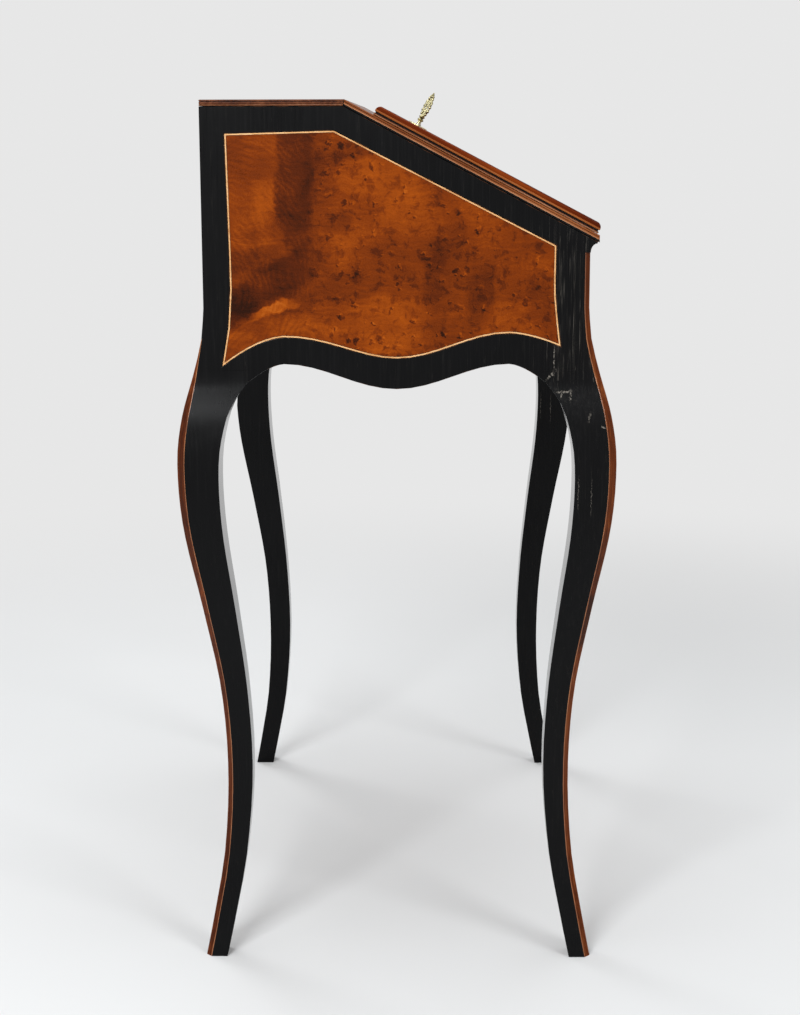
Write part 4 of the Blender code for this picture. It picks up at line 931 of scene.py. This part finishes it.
# The bow: its pear-shaped rim, stem, scrolls and beads
KEY_PEAR_STEPS = 40
KEY_MIDDLE = 0.0362
KEY_HALF_LENGTH = 0.0125
KEY_HALF_WIDTH = 0.0098
KEY_PEAR_SWELL = 0.14
KEY_BAR = 0.0011
KEY_BAR_SIDES = 8
KEY_STEM = (0.024, 0.036, 0.049)
# Scrolls: out, along and radius; then their start and turn in degrees, and the share by which they close
KEY_SCROLLS = ((0.0050, 0.0400, 0.0044), (0.0044, 0.0300, 0.0036))
KEY_SCROLL_STEPS = 26
KEY_SCROLL_FROM = -110.0
KEY_SCROLL_TURN = 470.0
KEY_SCROLL_CLOSING = 0.72
KEY_SCROLL_BEAD = 0.40
KEY_FINIAL = (
    (0.0, 0.0506, 0.0019), (0.0, 0.0530, 0.0010), (0.0038, 0.0488, 0.0016), (-0.0038, 0.0488, 0.0016),
)
KEY_RIM_BEADS = 14
KEY_BEAD = 0.0019


def bar(shape, points, normal, closed=False):
    """A round bar of the key's bow, along points in the plane across normal."""
    rings = []
    for i, point in enumerate(points):
        before = points[i - 1] if closed or i else point
        after = points[(i + 1) % len(points)] if closed or i + 1 < len(points) else point
        across = (after - before).normalized().cross(normal)
        spokes = [across * math.cos(turn) + normal * math.sin(turn) for turn in full_turn(KEY_BAR_SIDES)]
        rings.append([point + spoke * KEY_BAR for spoke in spokes])
    skin(shape, rings, () if closed else (0, -1))


def bead(shape, place, radius):
    """A small ball."""
    bmesh.ops.create_icosphere(shape, subdivisions=2, radius=radius, matrix=Matrix.Translation(place))


def pear(turn):
    """A point of the key's bow: out to the side, and off the slope."""
    fullness = 1.0 - KEY_PEAR_SWELL + KEY_PEAR_SWELL * math.cos(turn)
    return KEY_HALF_WIDTH * math.sin(turn) * fullness, KEY_MIDDLE - KEY_HALF_LENGTH * math.cos(turn)


def make_key():
    """The key: a steel shank with its bit, and a brass bow of scrolls inside a beaded pear."""
    origin = Vector(JOINTS["key_turn"]["pos_m"])
    side = ACROSS * math.cos(KEY_TURN) + UP_SLOPE * math.sin(KEY_TURN)
    normal = side.cross(OFF_SLOPE)

    def place(out, off):
        return origin + side * out + OFF_SLOPE * off

    shape = bmesh.new()
    lathe(shape, KEY_NECK, origin, OFF_SLOPE)
    bar(shape, [place(*pear(turn)) for turn in full_turn(KEY_PEAR_STEPS)], normal, True)
    bar(shape, [place(0.0, off) for off in KEY_STEM], normal)
    for _, sign in SIDES:
        for out, off, radius in KEY_SCROLLS:
            points = []
            for i in range(KEY_SCROLL_STEPS):
                share = i / (KEY_SCROLL_STEPS - 1)
                turn = math.radians(KEY_SCROLL_FROM + KEY_SCROLL_TURN * share)
                reach = radius * (1.0 - KEY_SCROLL_CLOSING * share)
                points.append(place(sign * (out + reach * math.cos(turn)), off + reach * math.sin(turn)))
            bar(shape, points, normal)
            bead(shape, place(sign * out, off), radius * KEY_SCROLL_BEAD)
    for i in range(KEY_RIM_BEADS):
        bead(shape, place(*pear(2 * math.pi * (i + 0.5) / KEY_RIM_BEADS)), KEY_BEAD)
    for out, off, radius in KEY_FINIAL:
        bead(shape, place(out, off), radius)
    add_piece("key_bow", finish_shape(shape, SHARP_BEADED), (KEY_BRASS,), "key", ("key",))
    shape = bmesh.new()
    lathe(shape, KEY_SHANK, origin, OFF_SLOPE)
    half = normal * KEY_BIT_HALF
    points = [place(*point) for point in KEY_BIT]
    skin(shape, ([point - half for point in points], [point + half for point in points]))
    add_piece("key_shank", finish_shape(shape), (STEEL,), "key", ("key",))


# The plate round the keyhole
PLATE_STEPS = 64
PLATE_LOBES = 8
PLATE_LOBE = 0.05
# Its outer rings (share of its size, share of its height), and the heights of the rings round its hole
PLATE_RINGS = ((1.0, 0.0), (1.0, 0.5), (0.90, 0.85), (0.72, 1.0), (0.58, 0.75))
PLATE_HOLE = 0.0027
PLATE_HOLE_RINGS = (0.75, 0.0)


def make_escutcheon():
    """A lobed and raised key plate."""
    low, high = slope_box("escutcheon")
    middle = (low + high) / 2
    half = (high - low) / 2
    turns = full_turn(PLATE_STEPS)
    rings = []

    def add_ring(reaches, height):
        off = low.z + (high.z - low.z) * height
        ring = []
        for turn, (across, up) in zip(turns, reaches):
            x = middle.x + across * math.cos(turn)
            ring.append(slope_point(x, middle.y + up * math.sin(turn), off))
        rings.append(ring)

    waves = [1.0 - PLATE_LOBE + PLATE_LOBE * math.cos(PLATE_LOBES * turn) for turn in turns]
    for size, height in PLATE_RINGS:
        add_ring([(half.x * size * wave, half.y * size * wave) for wave in waves], height)
    for height in PLATE_HOLE_RINGS:
        add_ring([(PLATE_HOLE, PLATE_HOLE)] * PLATE_STEPS, height)
    shape = bmesh.new()
    skin(shape, rings, ())
    stand_in("escutcheon", "lobed", finish_shape(shape, SHARP_BEADED), (BRASS,))


SCREW_RADIUS = 0.0026
SCREW_SLOT = 0.0005
SCREW_RISE = 0.00012
SCREW_STEPS = 24
# The turn of the first slot, and how much further each next one is turned
SCREW_TURN = 0.7
SCREW_TURN_ON = 1.3


def screw(shape, place, out, turn):
    """A slotted screw head, sunk almost flush."""
    side = out.orthogonal().normalized()
    side.rotate(Quaternion(out, turn))
    other = out.cross(side)
    for sign in (-1, 1):
        arc = []
        for i in range(SCREW_STEPS // 2 + 1):
            angle = math.pi * i / (SCREW_STEPS // 2)
            across = max(math.sin(angle) * SCREW_RADIUS, SCREW_SLOT / 2)
            arc.append(side * math.cos(angle) * SCREW_RADIUS + other * sign * across)
        low = [place - out * SCREW_RISE + point for point in arc]
        high = [place + out * SCREW_RISE + point for point in arc]
        skin(shape, (low, high))


def make_screws(name, places, out, body):
    """Screw heads that face outwards at some places, as one piece."""
    shape = bmesh.new()
    for i, place in enumerate(places):
        screw(shape, place, out, SCREW_TURN + SCREW_TURN_ON * i)
    add_piece(name, finish_shape(shape), (BRASS,), body)


SCREW_SPREAD = 0.020
SCREW_UP_LEAF = 0.012
LOCK_SCREW_IN = 0.006


def make_fittings():
    """Screws in the hinges, the lock and the strike."""
    lid_low, _ = slope_box("lid_moulding")
    for side, _ in SIDES:
        low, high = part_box(f"hinge_leaf_case_{side}")
        centre = (low.x + high.x) / 2
        spots = [centre + step * SCREW_SPREAD for step in (-1, 0, 1)]
        places = [Vector((x, HINGE.y + SCREW_UP_LEAF, HINGE.z)) for x in spots]
        make_screws(f"hinge_screws_case_{side}", places, Vector((0.0, 0.0, 1.0)), "case")
        places = [slope_point(x, SCREW_UP_LEAF, lid_low.z) for x in spots]
        make_screws(f"hinge_screws_lid_{side}", places, -OFF_SLOPE, "lid")
    low, high = slope_box("lock_case")
    ends = (low.x + LOCK_SCREW_IN, high.x - LOCK_SCREW_IN)
    rows = (low.y + LOCK_SCREW_IN, high.y - LOCK_SCREW_IN)
    places = [slope_point(x, up, low.z) for x in ends for up in rows]
    make_screws("lock_screws", places, -OFF_SLOPE, "lid")
    low, high = slope_box("strike_plate")
    middle = (low.z + high.z) / 2
    ends = (low.x + LOCK_SCREW_IN, high.x - LOCK_SCREW_IN)
    make_screws("strike_screws", [slope_point(x, low.y, middle) for x in ends], -UP_SLOPE, "case")


# Turned knobs of the drawers and the lid supports: radius, and place along the axis
KNOB_PROFILE = (
    (0.0026, 0.0000), (0.0022, 0.0012), (0.0020, 0.0030), (0.0023, 0.0044), (0.0034, 0.0054),
    (0.0047, 0.0064), (0.0054, 0.0078), (0.0053, 0.0092), (0.0044, 0.0106), (0.0030, 0.0115),
    (0.0012, 0.0119),
)
PULL_PROFILE = (
    (0.0050, -0.0040), (0.0050, -0.0032), (0.0018, -0.0026), (0.0016, 0.0006), (0.0026, 0.0014),
    (0.0036, 0.0026), (0.0036, 0.0040), (0.0026, 0.0052), (0.0010, 0.0057),
)
KNOB_SIDES = 28
COCKBEAD = 0.0012
COCKBEAD_RISE = 0.0006
FRONTWARD = Vector((0.0, -1.0, 0.0))


def turned_knob(low, high, profile, depth):
    """A knob in the middle of a box seen from the front, turned from a depth forwards."""
    shape = bmesh.new()
    foot = Vector(((low.x + high.x) / 2, depth, (low.z + high.z) / 2))
    lathe(shape, profile, foot, FRONTWARD, KNOB_SIDES)
    return finish_shape(shape, SHARP_TURNED)


def make_pulls():
    """Turned knobs on the small drawers and on the lid supports."""
    for name in DRAWERS:
        node = f"drawer_knob_{name}"
        low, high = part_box(node)
        stand_in(node, "turned", turned_knob(low, high, KNOB_PROFILE, high.y), (BRASS,))
    for side, _ in SIDES:
        low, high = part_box(f"loper_{side}")
        knob = turned_knob(low, high, PULL_PROFILE, low.y)
        add_piece(f"loper_pull_{side}", knob, (BRASS,), f"support_{side}")


def dress_drawers():
    """Small drawers with a veneered front, a plain lining and a bead round the front."""
    for name in DRAWERS:
        node = f"drawer_{name}"
        low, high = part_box(node)
        behind = low.y + WELD
        finishes = (BURR_FRONT, LINING)
        dress(node, finishes, DRAWER_EDGE, lambda face: int(face.calc_center_median().y > behind))
        shape = bmesh.new()
        rings = []
        for inset, rise in ((0.0, 0.0), (0.0, COCKBEAD_RISE), (COCKBEAD, COCKBEAD_RISE), (COCKBEAD, 0.0)):
            corners = rectangle((low.x + inset, low.z + inset), (high.x - inset, high.z - inset))
            rings.append([(x, low.y - rise, z) for x, z in corners])
        skin(shape, rings, ())
        add_piece(f"{node}_bead", finish_shape(shape), (BOXWOOD,), BODY_OF[node])


FLOOR_SIDES = 64
FLOOR_RINGS = (0.0005, 1.0, 3.0, 9.0)


def make_stage():
    """A wide pale floor."""
    shape = bmesh.new()
    spokes = [Vector((math.cos(turn), math.sin(turn), 0.0)) for turn in full_turn(FLOOR_SIDES)]
    skin(shape, [[spoke * radius for spoke in spokes] for radius in FLOOR_RINGS], (0,))
    mesh = finish_shape(shape, math.pi)
    mesh.materials.append(pale_floor("pale_floor"))
    floor = link("floor", mesh)


LAMP_TINT = (0.96, 0.985, 1.0)
# Soft lamps: name, place, aim, width and power
LAMPS = (
    ("soft_left", (-2.4, 0.9, 2.0), (0.0, 0.0, 0.6), 1.0, 52.0),
    ("soft_right", (-2.2, -2.1, 2.1), (0.0, 0.0, 0.6), 1.0, 31.0),
    ("soft_top", (0.3, 0.0, 2.9), (0.0, 0.0, 0.0), 2.2, 34.0),
    ("soft_far", (2.2, 1.9, 2.1), (0.0, 0.0, 0.5), 1.4, 26.0),
)
AMBIENT = 0.34


def make_light():
    """A soft room, pale where it is seen, and four soft lamps."""
    world = bpy.data.worlds.new("soft_room")
    world.use_nodes = True
    tree = world.node_tree
    strength = tree.nodes.new("ShaderNodeMapRange")
    strength.inputs["To Min"].default_value = AMBIENT
    strength.inputs["To Max"].default_value = BACKDROP
    tree.links.new(seen_directly(tree), strength.inputs["Value"])
    tree.links.new(strength.outputs[0], tree.nodes["Background"].inputs["Strength"])
    tree.nodes["Background"].inputs["Color"].default_value = WHITE
    bpy.context.scene.world = world
    for name, place, aim, width, power in LAMPS:
        data = bpy.data.lights.new(name, "AREA")
        data.shape = "SQUARE"
        data.size = width
        data.energy = power
        data.color = LAMP_TINT
        light = link(name, data)
        light.location = place
        light.rotation_euler = (Vector(aim) - Vector(place)).to_track_quat("-Z", "Y").to_euler()


def make_camera():
    """The photograph's viewpoint."""
    data = bpy.data.cameras.new("camera")
    data.sensor_width = SENSOR
    data.lens = SENSOR * FOCAL_PIXELS / IMAGE_HEIGHT
    camera = link("camera", data)
    camera.location = CAMERA_PLACE
    camera.rotation_mode = "QUATERNION"
    roll = Quaternion((0.0, 0.0, 1.0), CAMERA_ROLL)
    camera.rotation_quaternion = Vector(CAMERA_AIM).to_track_quat("-Z", "Y") @ roll
    bpy.context.scene.camera = camera


make_camera()
dress_case()
make_slope_strips()
make_top_board()
dress_lid()
make_key()
make_escutcheon()
make_fittings()
dress_drawers()
make_pulls()
make_stage()
make_light()
bpy.context.scene.view_settings.view_transform = "Standard"
